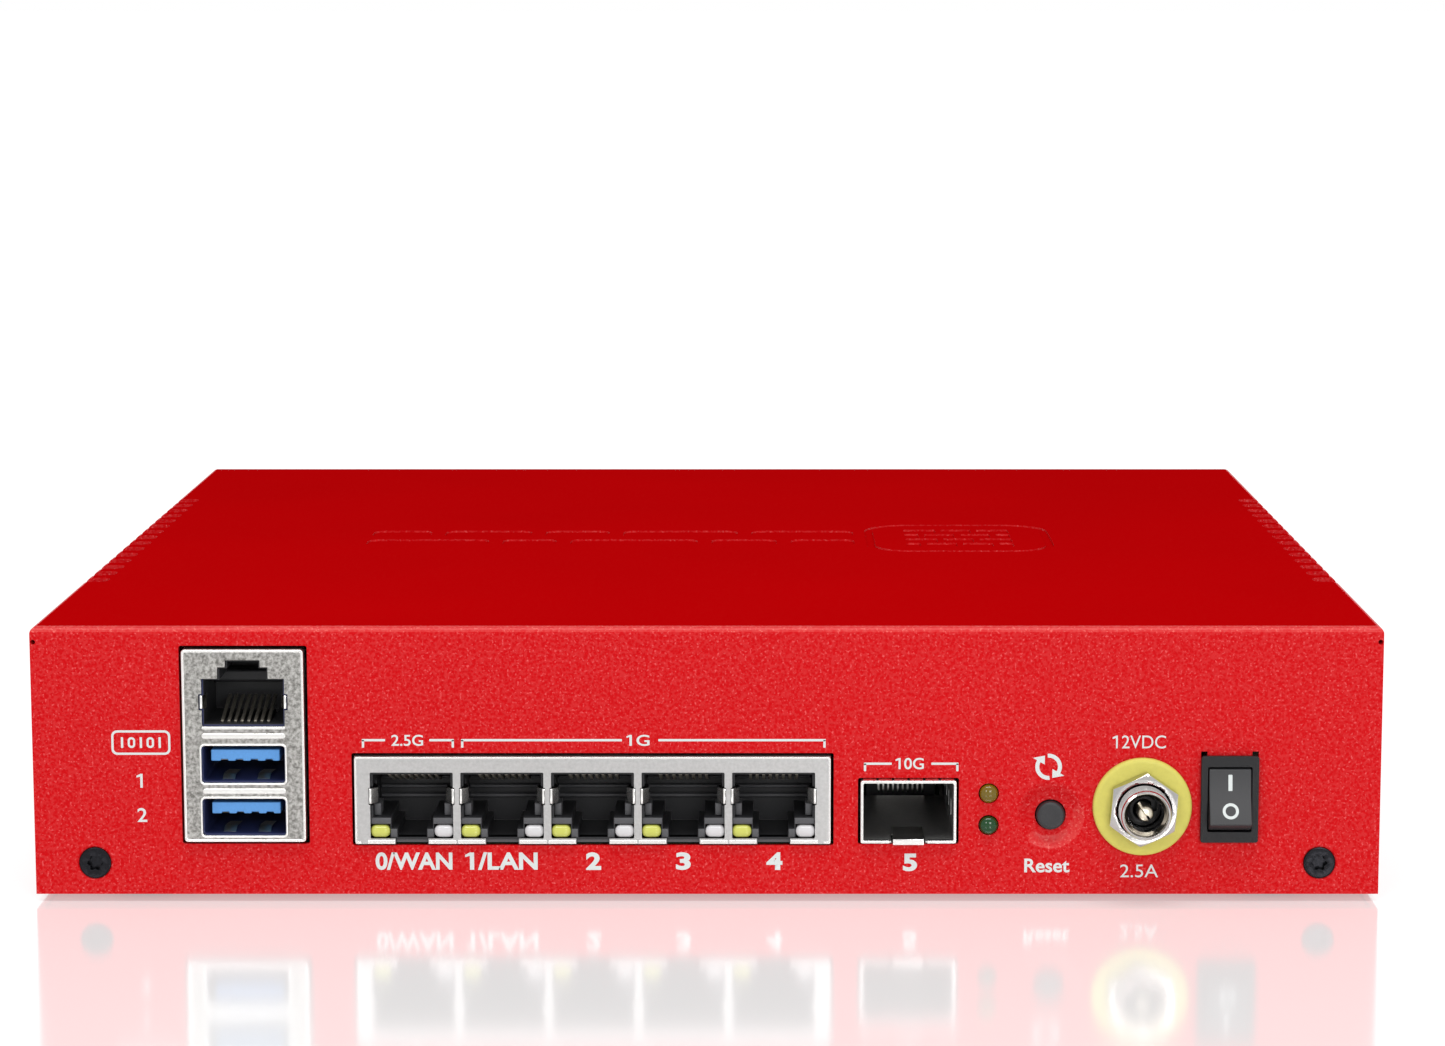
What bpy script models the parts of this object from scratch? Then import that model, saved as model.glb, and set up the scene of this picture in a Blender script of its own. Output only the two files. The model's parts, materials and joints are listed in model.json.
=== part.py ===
"""Fanless desktop firewall appliance: a bent sheet-metal case with a port panel.

Metres, +Z up. The port panel faces -Y. The origin is at the middle of the
outer box, on the surface that the rubber feet stand on.
"""
import math

import bmesh
import bpy
from mathutils import Matrix, Vector

MM = 0.001

# Case
CASE_WIDTH = 208.0
CASE_DEPTH = 190.0
CASE_HEIGHT = 42.0
SHEET = 1.0
BEND_RADIUS = 2.0
FOOT_HEIGHT = 1.2
FIT_GAP = 0.3
INLET_PROUD = 7.0            # the power inlet's barrel beyond the port panel

PANEL_Y = INLET_PROUD / 2 - CASE_DEPTH / 2
REAR_Y = PANEL_Y + CASE_DEPTH
CASE_BOTTOM = FOOT_HEIGHT
CASE_TOP = FOOT_HEIGHT + CASE_HEIGHT
HALF_WIDTH = CASE_WIDTH / 2

# Side vents, the same on both sides
VENT_COUNT = 15
VENT_PITCH = 6.9
VENT_WIDTH = 3.9
VENT_FIRST = 46.0            # first slot's middle, behind the port panel
VENT_REACH = 3.2             # how far a slot runs in from the side, over the top
VENT_DROP = 12.0             # how far it runs down the side
VENT_ROUND = 1.6

# Main board and what carries it
BOARD_THICK = 1.6
BOARD_TOP = 8.95
BOARD_HALF_WIDTH = 100.0
BOARD_FRONT = PANEL_Y + 3.5
BOARD_REAR = PANEL_Y + 183.0
STANDOFF_X = 92.0
STANDOFF_FRONT = PANEL_Y + 24.0
STANDOFF_REAR = PANEL_Y + 176.0
FOOT_X = 88.0
FOOT_INSET = 15.5
FOOT_RADIUS = 7.0

# Places on the port panel: x from the middle, z above the panel's lower edge
CONSOLE_X = -71.3
CONSOLE_WIDTH = 18.8
CONSOLE_LOW = 8.4
CONSOLE_HIGH = 38.6
CONSOLE_DEPTH = 22.0
USB_LOWS = (9.4, 17.7)
USB_HEIGHT = 5.9
USB_WIDTH = 12.9

LAN_FIRST_X = -45.6
LAN_PITCH = 13.97
LAN_COUNT = 5
LAN_LEFT = -54.4
LAN_RIGHT = 19.1
LAN_LOW = 8.05
LAN_HIGH = 21.8
LAN_DEPTH = 24.0
LAN_MOUTH_WIDTH = 12.8
LAN_MOUTH_LOW = 8.9
LAN_MOUTH_HIGH = 19.3
LINK_LIGHT_WIDTH = 3.0
LINK_LIGHT_HEIGHT = 2.0

CAGE_X = 31.1
CAGE_WIDTH = 14.7
CAGE_LOW = 8.2
CAGE_HIGH = 18.0
CAGE_DEPTH = 47.0

STATUS_X = 43.5
STATUS_Z = (10.9, 15.9)
STATUS_RADIUS = 1.42

RESET_X = 53.1
RESET_Z = 12.4
RESET_RADIUS = 2.2
RESET_TRAVEL = 0.8
DISH_OUTER = 5.2
DISH_INNER = 3.9
DISH_DEPTH = 0.6

INLET_X = 67.2
INLET_Z = 13.9
INLET_THREAD = 3.95
INLET_BORE = 2.8

SWITCH_X = 80.65
SWITCH_Z = 15.1
BEZEL_WIDTH = 8.9
BEZEL_HEIGHT = 13.6
PADDLE_WIDTH = 6.5
PADDLE_RADIUS = 4.95
PADDLE_CORNER = 60.0         # a face corner's angle from straight out, in mid swing
PADDLE_SWING = 28.0          # whole travel of the rocker, in degrees
PIVOT_Y = PANEL_Y + 0.5

SCREW_X = 94.8
SCREW_Z = 4.9
SCREW_HEAD = 2.5
SCREW_SHANK = 1.45


def up(z):
    """Height above the rest surface of a height above the panel's lower edge."""
    return CASE_BOTTOM + z


# Materials

def material(name, colour, roughness, metallic=0.0):
    mat = bpy.data.materials.new(name)
    mat.use_nodes = True
    shader = mat.node_tree.nodes["Principled BSDF"]
    shader.inputs["Base Color"].default_value = (*colour, 1.0)
    shader.inputs["Roughness"].default_value = roughness
    shader.inputs["Metallic"].default_value = metallic
    mat.diffuse_color = (*colour, 1.0)
    return mat


# Closed shapes, in millimetres. Each returns one bmesh with its faces pointing out.

def box(x0, x1, y0, y1, z0, z1):
    bm = bmesh.new()
    bmesh.ops.create_cube(bm, size=1.0)
    bmesh.ops.scale(bm, vec=(x1 - x0, y1 - y0, z1 - z0), verts=bm.verts)
    bmesh.ops.translate(bm, vec=((x0 + x1) / 2, (y0 + y1) / 2, (z0 + z1) / 2), verts=bm.verts)
    return bm


def prism(outline, start, end, axis="Y"):
    """An outline pushed along an axis: (y, z) for X, (x, z) for Y, (x, y) for Z."""
    placed = {
        "X": lambda a, b, along: (along, a, b),
        "Y": lambda a, b, along: (a, along, b),
        "Z": lambda a, b, along: (a, b, along),
    }[axis]
    bm = bmesh.new()
    low = [bm.verts.new(placed(a, b, start)) for a, b in outline]
    high = [bm.verts.new(placed(a, b, end)) for a, b in outline]
    bm.faces.new(low)
    bm.faces.new(high)
    for i in range(len(outline)):
        j = (i + 1) % len(outline)
        bm.faces.new((low[i], low[j], high[j], high[i]))
    bmesh.ops.recalc_face_normals(bm, faces=bm.faces)
    return bm


def ring_points(x, z, radius, sides, turn=0.0):
    angles = [turn + 2 * math.pi * i / sides for i in range(sides)]
    return [(x + radius * math.cos(a), z + radius * math.sin(a)) for a in angles]


def rod(x, z, radius, y0, y1, sides=24, turn=0.0):
    return prism(ring_points(x, z, radius, sides, turn), y0, y1)


def upright(x, y, radius, z0, z1, sides=24, turn=0.0):
    return prism(ring_points(x, y, radius, sides, turn), z0, z1, "Z")


def turned(profile, x, z, sides=32):
    """A solid turned about the Y axis through (x, z). The profile is a closed loop of (radius, y)."""
    bm = bmesh.new()
    rings = []
    for radius, y in profile:
        if radius < 1e-6:
            rings.append([bm.verts.new((x, y, z))])
        else:
            rings.append([bm.verts.new((a, y, b)) for a, b in ring_points(x, z, radius, sides)])
    for k, ring in enumerate(rings):
        following = rings[(k + 1) % len(rings)]
        if len(ring) == 1 and len(following) == 1:
            continue
        for i in range(sides):
            j = (i + 1) % sides
            loop = [ring[i % len(ring)], ring[j % len(ring)]]
            loop += [following[j % len(following)], following[i % len(following)]]
            bm.faces.new(list(dict.fromkeys(loop)))
    bmesh.ops.recalc_face_normals(bm, faces=bm.faces)
    return bm


def rounded(bm, chosen, radius, segments=3):
    """Round the edges whose middle and direction satisfy chosen(middle, direction)."""
    edges = []
    for edge in bm.edges:
        a, b = (vert.co for vert in edge.verts)
        if chosen((a + b) / 2, (b - a).normalized()):
            edges.append(edge)
    bmesh.ops.bevel(bm, geom=edges, offset=radius, segments=segments, profile=0.5, affect="EDGES")
    return bm


def round_rect(x, z, width, height, radius, steps=3):
    points = []
    for k, (sx, sz) in enumerate(((1, 1), (-1, 1), (-1, -1), (1, -1))):
        cx = x + sx * (width / 2 - radius)
        cz = z + sz * (height / 2 - radius)
        for i in range(steps + 1):
            a = math.pi / 2 * (k + i / steps)
            points.append((cx + radius * math.cos(a), cz + radius * math.sin(a)))
    return points


# Objects

def to_mesh(name, shapes):
    mesh = bpy.data.meshes.new(name)
    whole = bmesh.new()
    for shape in shapes:
        piece = bpy.data.meshes.new("piece")
        shape.to_mesh(piece)
        whole.from_mesh(piece)
        bpy.data.meshes.remove(piece)
        shape.free()
    bmesh.ops.scale(whole, vec=(MM, MM, MM), verts=whole.verts)
    whole.to_mesh(mesh)
    whole.free()
    return mesh


def helper(name, shapes):
    """A hidden object that only shapes another one."""
    obj = bpy.data.objects.new(name, to_mesh(name, shapes))
    obj.hide_render = True
    obj.display_type = "WIRE"
    bpy.context.scene.collection.objects.link(obj)
    return obj


def solid(name, mat, shapes, joined=(), cuts=(), smooth=False):
    """One sub-part: the first shape, others joined to it one by one, then groups of cuts."""
    obj = bpy.data.objects.new(name, to_mesh(name, shapes))
    bpy.context.scene.collection.objects.link(obj)
    obj.data.materials.append(mat)
    for k, shape in enumerate(joined):
        boolean(obj, "UNION", helper(f"{name}_add_{k}", [shape]))
    for k, group in enumerate(cuts):
        boolean(obj, "DIFFERENCE", helper(f"{name}_cut_{k}", group))
    if smooth:
        obj.data.shade_smooth()
        obj.data.set_sharp_from_angle(angle=math.radians(35))
    return obj


def boolean(obj, operation, operand):
    mod = obj.modifiers.new(operation.lower(), "BOOLEAN")
    mod.operation = operation
    mod.solver = "EXACT"
    mod.object = operand


def hinge_at(obj, x, y, z, name):
    """Put a moving object's origin on its axis, through a parent empty."""
    pivot = bpy.data.objects.new(name, None)
    pivot.location = Vector((x, y, z)) * MM
    bpy.context.scene.collection.objects.link(pivot)
    obj.data.transform(Matrix.Translation(-pivot.location))
    obj.parent = pivot
    return pivot


def lead(name, mat, points, radius):
    """A soft wire on a smooth curve through its points."""
    nodes = [Vector(p) * MM for p in points]
    nodes = [nodes[0] * 2 - nodes[1]] + nodes + [nodes[-1] * 2 - nodes[-2]]
    route = []
    for k in range(1, len(nodes) - 2):
        a, b, c, d = nodes[k - 1:k + 3]
        for i in range(6):
            t = i / 6
            curve_point = 2 * b + (c - a) * t + (2 * a - 5 * b + 4 * c - d) * t * t
            curve_point += (3 * b - a - 3 * c + d) * t ** 3
            route.append(curve_point / 2)
    route.append(nodes[-2])
    curve = bpy.data.curves.new(name, "CURVE")
    curve.dimensions = "3D"
    curve.bevel_depth = radius * MM
    curve.bevel_resolution = 2
    curve.use_fill_caps = True
    spline = curve.splines.new("POLY")
    spline.points.add(len(route) - 1)
    for point, place in zip(spline.points, route):
        point.co = (*place, 1.0)
    obj = bpy.data.objects.new(name, curve)
    bpy.context.scene.collection.objects.link(obj)
    obj.data.materials.append(mat)
    return obj


# Case

def bend_edges(middle, direction):
    """Top edges of the cover that are bends: the panel's and the two sides'."""
    at_top = middle.z > CASE_TOP - 2 * SHEET
    return at_top and (abs(middle.x) > HALF_WIDTH / 2 or middle.y < 0)


def make_cover(mat):
    outer = box(-HALF_WIDTH, HALF_WIDTH, PANEL_Y, REAR_Y, CASE_BOTTOM, CASE_TOP)
    rounded(outer, bend_edges, BEND_RADIUS, 5)
    inside = HALF_WIDTH - SHEET
    inner = box(-inside, inside, PANEL_Y + SHEET, REAR_Y + 5, CASE_BOTTOM - 5, CASE_TOP - SHEET)
    rounded(inner, bend_edges, BEND_RADIUS - SHEET, 5)

    mouths = [
        port_cut(CONSOLE_X, CONSOLE_WIDTH + 0.9, CONSOLE_LOW - 0.45, CONSOLE_HIGH + 0.45),
        port_cut((LAN_LEFT + LAN_RIGHT) / 2, LAN_RIGHT - LAN_LEFT + 0.9, LAN_LOW - 0.35, LAN_HIGH + 0.45),
        port_cut(CAGE_X, CAGE_WIDTH + 0.9, CAGE_LOW - 0.3, CAGE_HIGH + 0.35),
        panel_hole(RESET_X, RESET_Z, RESET_RADIUS + 0.2),
        panel_hole(INLET_X, INLET_Z, INLET_THREAD + 0.25),
        prism(switch_cutout(), PANEL_Y - 2, PANEL_Y + 3),
    ]
    mouths += [panel_hole(STATUS_X, z, STATUS_RADIUS + 0.15) for z in STATUS_Z]
    mouths += [countersink(side * SCREW_X) for side in (-1, 1)]
    dish = turned([
        (0.0, PANEL_Y - 1.0), (DISH_OUTER + 0.5, PANEL_Y - 1.0), (DISH_OUTER, PANEL_Y),
        (DISH_INNER, PANEL_Y + DISH_DEPTH), (0.0, PANEL_Y + DISH_DEPTH),
    ], RESET_X, up(RESET_Z))
    dish_back = rod(RESET_X, up(RESET_Z), DISH_OUTER + 0.4, PANEL_Y + 0.7, PANEL_Y + SHEET + 0.5, 32)
    seams = []
    reliefs = []
    for side in (-1, 1):
        edge = side * (inside - 0.15)
        seams.append(box(edge - 0.15, edge + 0.15, PANEL_Y - 2, PANEL_Y + SHEET + 1, 0, CASE_TOP - 2.6))
        reliefs.append(rod(side * (inside - 0.1), CASE_TOP - 2.9, 0.75, PANEL_Y - 2, PANEL_Y + 3, 16))
    vents = [vent_cut(side, k) for side in (-1, 1) for k in range(VENT_COUNT)]
    cover = solid("cover", mat, [outer], [], [[inner]], True)
    boolean(cover, "UNION", helper("cover_dish_back", [dish_back]))
    for k, group in enumerate([[dish], mouths, vents, seams, reliefs]):
        boolean(cover, "DIFFERENCE", helper(f"cover_opening_{k}", group))


def port_cut(x, width, low, high):
    return prism(round_rect(x, up((low + high) / 2), width, high - low, 0.3, 2), PANEL_Y - 2, PANEL_Y + 3)


def panel_hole(x, z, radius):
    return rod(x, up(z), radius, PANEL_Y - 2, PANEL_Y + 3)


def countersink(x):
    return turned([
        (0.0, PANEL_Y - 1.0), (SCREW_HEAD + 1.35, PANEL_Y - 1.0), (SCREW_SHANK + 0.35, PANEL_Y + 0.9),
        (SCREW_SHANK + 0.35, PANEL_Y + 3), (0.0, PANEL_Y + 3),
    ], x, up(SCREW_Z), 24)


def switch_cutout():
    """The switch's body opening, with a snap notch past each upper corner of the bezel."""
    half = BEZEL_WIDTH / 2 - 0.45
    low = up(SWITCH_Z) - BEZEL_HEIGHT / 2 + 0.45
    high = up(SWITCH_Z) + BEZEL_HEIGHT / 2 - 0.45
    notch_out = BEZEL_WIDTH / 2
    notch_top = up(SWITCH_Z) + BEZEL_HEIGHT / 2 + 0.6
    right = [(half, low), (half, high - 0.4), (notch_out, high - 0.4), (notch_out, notch_top)]
    right += [(notch_out - 1.0, notch_top), (notch_out - 1.0, high)]
    left = [(-x, z) for x, z in reversed(right)]
    return [(SWITCH_X + x, z) for x, z in right + left]


def vent_cut(side, k):
    """A slot that wraps the bend between the lid and the side, with round ends."""
    y = PANEL_Y + VENT_FIRST + k * VENT_PITCH
    inner = side * (HALF_WIDTH - VENT_REACH)
    outer = side * (HALF_WIDTH + 2)
    low = CASE_TOP - VENT_DROP
    half = VENT_WIDTH / 2
    bm = box(min(inner, outer), max(inner, outer), y - half, y + half, low, CASE_TOP + 2)

    def slot_end(middle, direction):
        in_lid = abs(direction.z) > 0.9 and abs(middle.x) < HALF_WIDTH
        in_side = abs(direction.x) > 0.9 and middle.z < low + 0.1
        return in_lid or in_side

    return rounded(bm, slot_end, VENT_ROUND, 2)


def make_base(mat):
    """Floor, far side plate and side flanges, bent from one sheet, with two screw tabs."""
    half = HALF_WIDTH - SHEET - FIT_GAP
    front = PANEL_Y + SHEET + FIT_GAP
    high = CASE_TOP - SHEET - FIT_GAP
    outline = [(front, CASE_BOTTOM)]
    outline += [(REAR_Y - 1.5 + 1.5 * math.sin(a), CASE_BOTTOM + 1.5 - 1.5 * math.cos(a))
                for a in (math.pi / 2 * i / 4 for i in range(5))]
    outline += [(REAR_Y, high), (REAR_Y - SHEET, high)]
    outline += [(REAR_Y - 1.5 + 0.5 * math.sin(a), CASE_BOTTOM + 1.5 - 0.5 * math.cos(a))
                for a in (math.pi / 2 * i / 4 for i in range(4, -1, -1))]
    outline += [(front, CASE_BOTTOM + SHEET)]
    body = prism(outline, -half, half, "X")
    rounded(body, lambda m, d: m.z > high - 0.1 and abs(d.y) > 0.9, 1.4, 3)
    extras = []
    for side in (-1, 1):
        flange = sorted((side * half, side * (half - SHEET)))
        extras.append(box(*flange, PANEL_Y + 8, REAR_Y - 6, CASE_BOTTOM + 0.2, CASE_BOTTOM + 5))
        extras.append(box(side * SCREW_X - 5, side * SCREW_X + 5, front, front + SHEET,
                          CASE_BOTTOM + 0.2, up(SCREW_Z) + 5))
    threads = [rod(side * SCREW_X, up(SCREW_Z), SCREW_SHANK + 0.1, front - 1, front + SHEET + 1, 16)
               for side in (-1, 1)]
    return solid("base_tray", mat, [body], extras, [threads], True)


def make_feet(mat):
    for k, (sx, y) in enumerate(corner_places(PANEL_Y + FOOT_INSET, REAR_Y - FOOT_INSET)):
        x = sx * FOOT_X
        foot = upright(x, y, FOOT_RADIUS, 0.0, FOOT_HEIGHT - 0.15, 32)
        rounded(foot, lambda m, d: m.z < 0.01, 0.35, 2)
        solid(f"foot_{k + 1}", mat, [foot], smooth=True)


def corner_places(front, rear):
    return [(-1, front), (1, front), (-1, rear), (1, rear)]


def make_case_screws(mat):
    """Flat-head screws with a six-sided socket, through the panel into the tray's tabs."""
    for name, side in (("left", -1), ("right", 1)):
        x = side * SCREW_X
        profile = [(0.0, PANEL_Y + 0.02), (SCREW_HEAD - 0.15, PANEL_Y + 0.02),
                   (SCREW_HEAD, PANEL_Y + 0.12), (SCREW_SHANK, PANEL_Y + 1.0),
                   (SCREW_SHANK, PANEL_Y + 2.8), (SCREW_SHANK - 0.3, PANEL_Y + 3.1), (0.0, PANEL_Y + 3.1)]
        socket = rod(x, up(SCREW_Z), 1.05, PANEL_Y - 1, PANEL_Y + 0.9, 6)
        solid(f"cover_screw_{name}", mat, [turned(profile, x, up(SCREW_Z), 24)], [], [[socket]], True)


# Main board

def make_board(board_mat, brass, steel):
    low = BOARD_TOP - BOARD_THICK
    places = corner_places(STANDOFF_FRONT, STANDOFF_REAR)
    holes = [upright(sx * STANDOFF_X, y, 1.7, low - 1, BOARD_TOP + 1, 16) for sx, y in places]
    plate = box(-BOARD_HALF_WIDTH, BOARD_HALF_WIDTH, BOARD_FRONT, BOARD_REAR, low, BOARD_TOP)
    rounded(plate, lambda m, d: abs(d.z) > 0.9, 2.0, 3)
    solid("main_board", board_mat, [plate], [], [holes])
    for k, (sx, y) in enumerate(places):
        x = sx * STANDOFF_X
        post = upright(x, y, 3.1, CASE_BOTTOM + SHEET + 0.15, low - 0.15, 6)
        tapped = upright(x, y, 1.45, CASE_BOTTOM + SHEET + 1.5, low + 1, 16)
        solid(f"standoff_{k + 1}", brass, [post], [], [[tapped]])
        head = upright(x, y, 2.9, BOARD_TOP + 0.15, BOARD_TOP + 1.9, 24)
        rounded(head, lambda m, d: m.z > BOARD_TOP + 1.8, 0.6, 2)
        shank = upright(x, y, 1.3, CASE_BOTTOM + SHEET + 2.0, BOARD_TOP + 1.0, 16)
        cross = [box(x - 1.4, x + 1.4, y - 0.3, y + 0.3, BOARD_TOP + 1.1, BOARD_TOP + 3)]
        cross_2 = [box(x - 0.3, x + 0.3, y - 1.4, y + 1.4, BOARD_TOP + 1.1, BOARD_TOP + 3)]
        solid(f"board_screw_{k + 1}", steel, [head], [shank], [cross, cross_2], True)


def make_processor(chip_mat, aluminium):
    x, y = 8.0, 22.0
    low = BOARD_TOP + 0.15
    package = box(x - 14, x + 14, y - 14, y + 14, low, low + 2.2)
    solid("processor", chip_mat, [package])
    fins = 13
    pitch = 5.4
    foot = low + 2.4
    base_top = foot + 3.5
    tip = 36.0
    left = x - (fins - 1) / 2 * pitch - 0.8
    outline = [(left, foot), (left + (fins - 1) * pitch + 1.6, foot)]
    for k in reversed(range(fins)):
        fin = left + k * pitch
        outline += [(fin + 1.6, base_top), (fin + 1.3, tip), (fin + 0.3, tip), (fin, base_top)]
    outline = [p for k, p in enumerate(outline) if k not in (2, len(outline) - 1)]
    solid("heat_sink", aluminium, [prism(outline, y - 32, y + 32)])


# Console and USB block

def console_outline(grow=0.0):
    """The 8P8C mouth: a body with two smaller steps above it for the plug's latch."""
    half = 6.35 + grow
    step = 3.85 + grow
    slot = 2.65 + grow
    low, high, step_high, slot_high = 26.6 - grow, 34.0 + grow, 35.8 + grow, 36.9 + grow
    right = [(half, low), (half, high), (step, high), (step, step_high), (slot, step_high), (slot, slot_high)]
    left = [(-x, z) for x, z in reversed(right)]
    return [(CONSOLE_X + x, up(z)) for x, z in right + left]


def usb_outline(low, grow=0.0):
    return round_rect(CONSOLE_X - 0.1, up(low + USB_HEIGHT / 2), USB_WIDTH + 2 * grow,
                      USB_HEIGHT + 2 * grow, 0.5, 2)


def make_console(steel, plastic, gold, blue):
    front = PANEL_Y - 0.8
    rear = front + CONSOLE_DEPTH
    half = CONSOLE_WIDTH / 2
    x = CONSOLE_X
    shell = box(x - half, x + half, front, rear, up(CONSOLE_LOW), up(CONSOLE_HIGH))
    rounded(shell, lambda m, d: abs(d.y) > 0.9, 0.5, 2)
    hollow = box(x - half + 0.4, x + half - 0.4, front + 0.4, rear + 2,
                 up(CONSOLE_LOW) + 0.4, up(CONSOLE_HIGH) - 0.4)
    mouths = [prism(console_outline(), front - 1, front + 2)]
    mouths += [prism(usb_outline(low), front - 1, front + 2) for low in USB_LOWS]
    solid("console_usb_shield", steel, [shell], [], [[hollow], mouths])

    block = box(x - half + 0.6, x + half - 0.6, front + 0.6, rear - 0.5,
                up(CONSOLE_LOW) + 0.6, up(CONSOLE_HIGH) - 0.6)
    cavities = [prism(console_outline(-0.25), front - 1, front + 13.5)]
    cavities += [prism(usb_outline(low, -0.2), front - 1, front + 16.0) for low in USB_LOWS]
    solid("console_usb_housing", plastic, [block], [], [cavities])

    solid("console_contacts", gold, *contact_comb(x, up(27.25), front + 3.2, front + 13.2, 1))
    for name, low in (("lower", USB_LOWS[0]), ("upper", USB_LOWS[1])):
        tongue = box(x - 5.3, x + 5.3, front + 1.6, front + 15.8, up(low) + 3.15, up(low) + 4.95)
        rounded(tongue, lambda m, d: m.y < front + 2, 0.25, 2)
        solid(f"usb_tongue_{name}", blue, [tongue])


def contact_comb(x, z, front, rear, side):
    """Eight sprung contacts held by one bar; side is the way that they slope."""
    bar = box(x - 4.3, x + 4.3, rear - 1.2, rear, z - 0.25, z + 0.45)
    if side < 0:
        bar = box(x - 4.3, x + 4.3, rear - 1.2, rear, z - 0.45, z + 0.25)
    fingers = []
    for k in range(8):
        cx = x + (k - 3.5) * 1.02
        outline = [(front, z), (front, z + side * 0.3), (rear - 0.6, z + side * 0.3), (rear - 0.6, z)]
        fingers.append(prism(outline, cx - 0.22, cx + 0.22, "X"))
    return [bar], fingers


# Network sockets

def lan_centres():
    return [LAN_FIRST_X + k * LAN_PITCH for k in range(LAN_COUNT)]


def lan_cavity(x):
    """The plug's space, with the latch's channel below it between the link lights."""
    right = [(2.25, 8.3), (2.25, 10.35), (3.2, 10.35), (3.2, 12.1), (6.0, 12.1), (6.0, 18.9)]
    left = [(-a, z) for a, z in reversed(right)]
    return [(x + a, up(z)) for a, z in right + left]


def make_lan(steel, plastic, gold, amber, clear):
    front = PANEL_Y - 0.6
    rear = front + LAN_DEPTH
    shell = box(LAN_LEFT, LAN_RIGHT, front, rear, up(LAN_LOW), up(LAN_HIGH))
    rounded(shell, lambda m, d: m.z > up(LAN_HIGH) - 0.1 and m.y < front + 0.1, 0.35, 2)
    hollow = box(LAN_LEFT + 0.4, LAN_RIGHT - 0.4, front + 0.4, rear + 2, up(LAN_LOW) + 0.4, up(LAN_HIGH) - 0.4)
    mouth_mid = up((LAN_MOUTH_LOW + LAN_MOUTH_HIGH) / 2)
    mouth_height = LAN_MOUTH_HIGH - LAN_MOUTH_LOW
    mouths = []
    lip_gaps = []
    for x in lan_centres():
        mouths.append(prism(round_rect(x, mouth_mid, LAN_MOUTH_WIDTH, mouth_height, 0.15, 1), front - 1, front + 2))
        lip_gaps.append(box(x - 2.55, x + 2.55, front - 1, front + 4, up(LAN_LOW) - 1, up(LAN_MOUTH_LOW) + 1))
    solid("lan_shield", steel, [shell], [], [[hollow], mouths, lip_gaps])

    block = box(LAN_LEFT + 0.6, LAN_RIGHT - 0.6, front + 0.6, rear - 0.5, up(LAN_LOW) + 0.6, up(LAN_HIGH) - 0.6)
    cavities = [prism(lan_cavity(x), front - 1, front + 13.0) for x in lan_centres()]
    pockets = []
    reach = 3.5 + LINK_LIGHT_WIDTH / 2 + 0.05
    for x in lan_centres():
        for side in (-1, 1):
            cx = x + side * reach
            pockets.append(box(cx - 1.35, cx + 1.35, front - 1, front + 7, up(LAN_LOW) - 1, up(11.05)))
    solid("lan_housing", plastic, [block], [], [cavities, pockets])

    for k, x in enumerate(lan_centres()):
        solid(f"lan_contacts_{k}", gold, *contact_comb(x, up(18.2), front + 3.0, front + 12.7, -1))
        for name, side, mat in (("left", -1, amber), ("right", 1, clear)):
            cx = x + side * reach
            light = prism(round_rect(cx, up(LAN_MOUTH_LOW + 1.05), 2.4, LINK_LIGHT_HEIGHT - 0.15, 0.7, 3),
                          front + 0.05, front + 6.6)
            rounded(light, lambda m, d: m.y < front + 0.1, 0.35, 2)
            solid(f"link_light_{k}_{name}", mat, [light], smooth=True)


# SFP+ cage

def make_cage(steel, plastic):
    front = PANEL_Y - 0.7
    rear = front + CAGE_DEPTH
    half = CAGE_WIDTH / 2
    low, high = up(CAGE_LOW), up(CAGE_HIGH)
    shell = box(CAGE_X - half, CAGE_X + half, front, rear, low, high)
    hollow = box(CAGE_X - half + 0.35, CAGE_X + half - 0.35, front - 2, rear - 0.35, low + 0.35, high - 0.35)
    under = [box(CAGE_X - 6.4, CAGE_X + 6.4, rear - 14, rear - 1.5, low - 2, low + 2)]
    notch = [box(CAGE_X - 2.9, CAGE_X + 2.9, front - 2, front + 6, low - 2, low + 2)]
    solid("sfp_cage", steel, [shell], [], [[hollow], under, notch])

    body = box(CAGE_X - 5.6, CAGE_X + 5.6, rear - 12.5, rear - 2.2, BOARD_TOP + 0.2, low + 6.4)
    slot = [box(CAGE_X - 4.6, CAGE_X + 4.6, rear - 14, rear - 5, low + 2.9, low + 4.1)]
    solid("sfp_host_connector", plastic, [body], [], [slot])


# Status lights and reset

def make_status(amber, green, plastic):
    for name, z, mat in (("green", STATUS_Z[0], green), ("amber", STATUS_Z[1], amber)):
        dome = [(STATUS_RADIUS * math.cos(a), PANEL_Y - 0.15 - 0.95 * math.sin(a))
                for a in (math.pi / 2 * i / 5 for i in range(5))]
        profile = [(0.0, PANEL_Y - 1.1)] + list(reversed(dome))
        profile += [(STATUS_RADIUS, PANEL_Y + 1.7), (0.0, PANEL_Y + 1.7)]
        solid(f"status_light_{name}", mat, [turned(profile, STATUS_X, up(z), 24)], smooth=True)
    holder = box(STATUS_X - 2.7, STATUS_X + 2.7, PANEL_Y + 2.0, PANEL_Y + 8.5, BOARD_TOP + 0.2, up(18.4))
    rounded(holder, lambda m, d: abs(d.y) > 0.9 and m.z > up(15), 0.6, 2)
    solid("status_light_holder", plastic, [holder])


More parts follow.
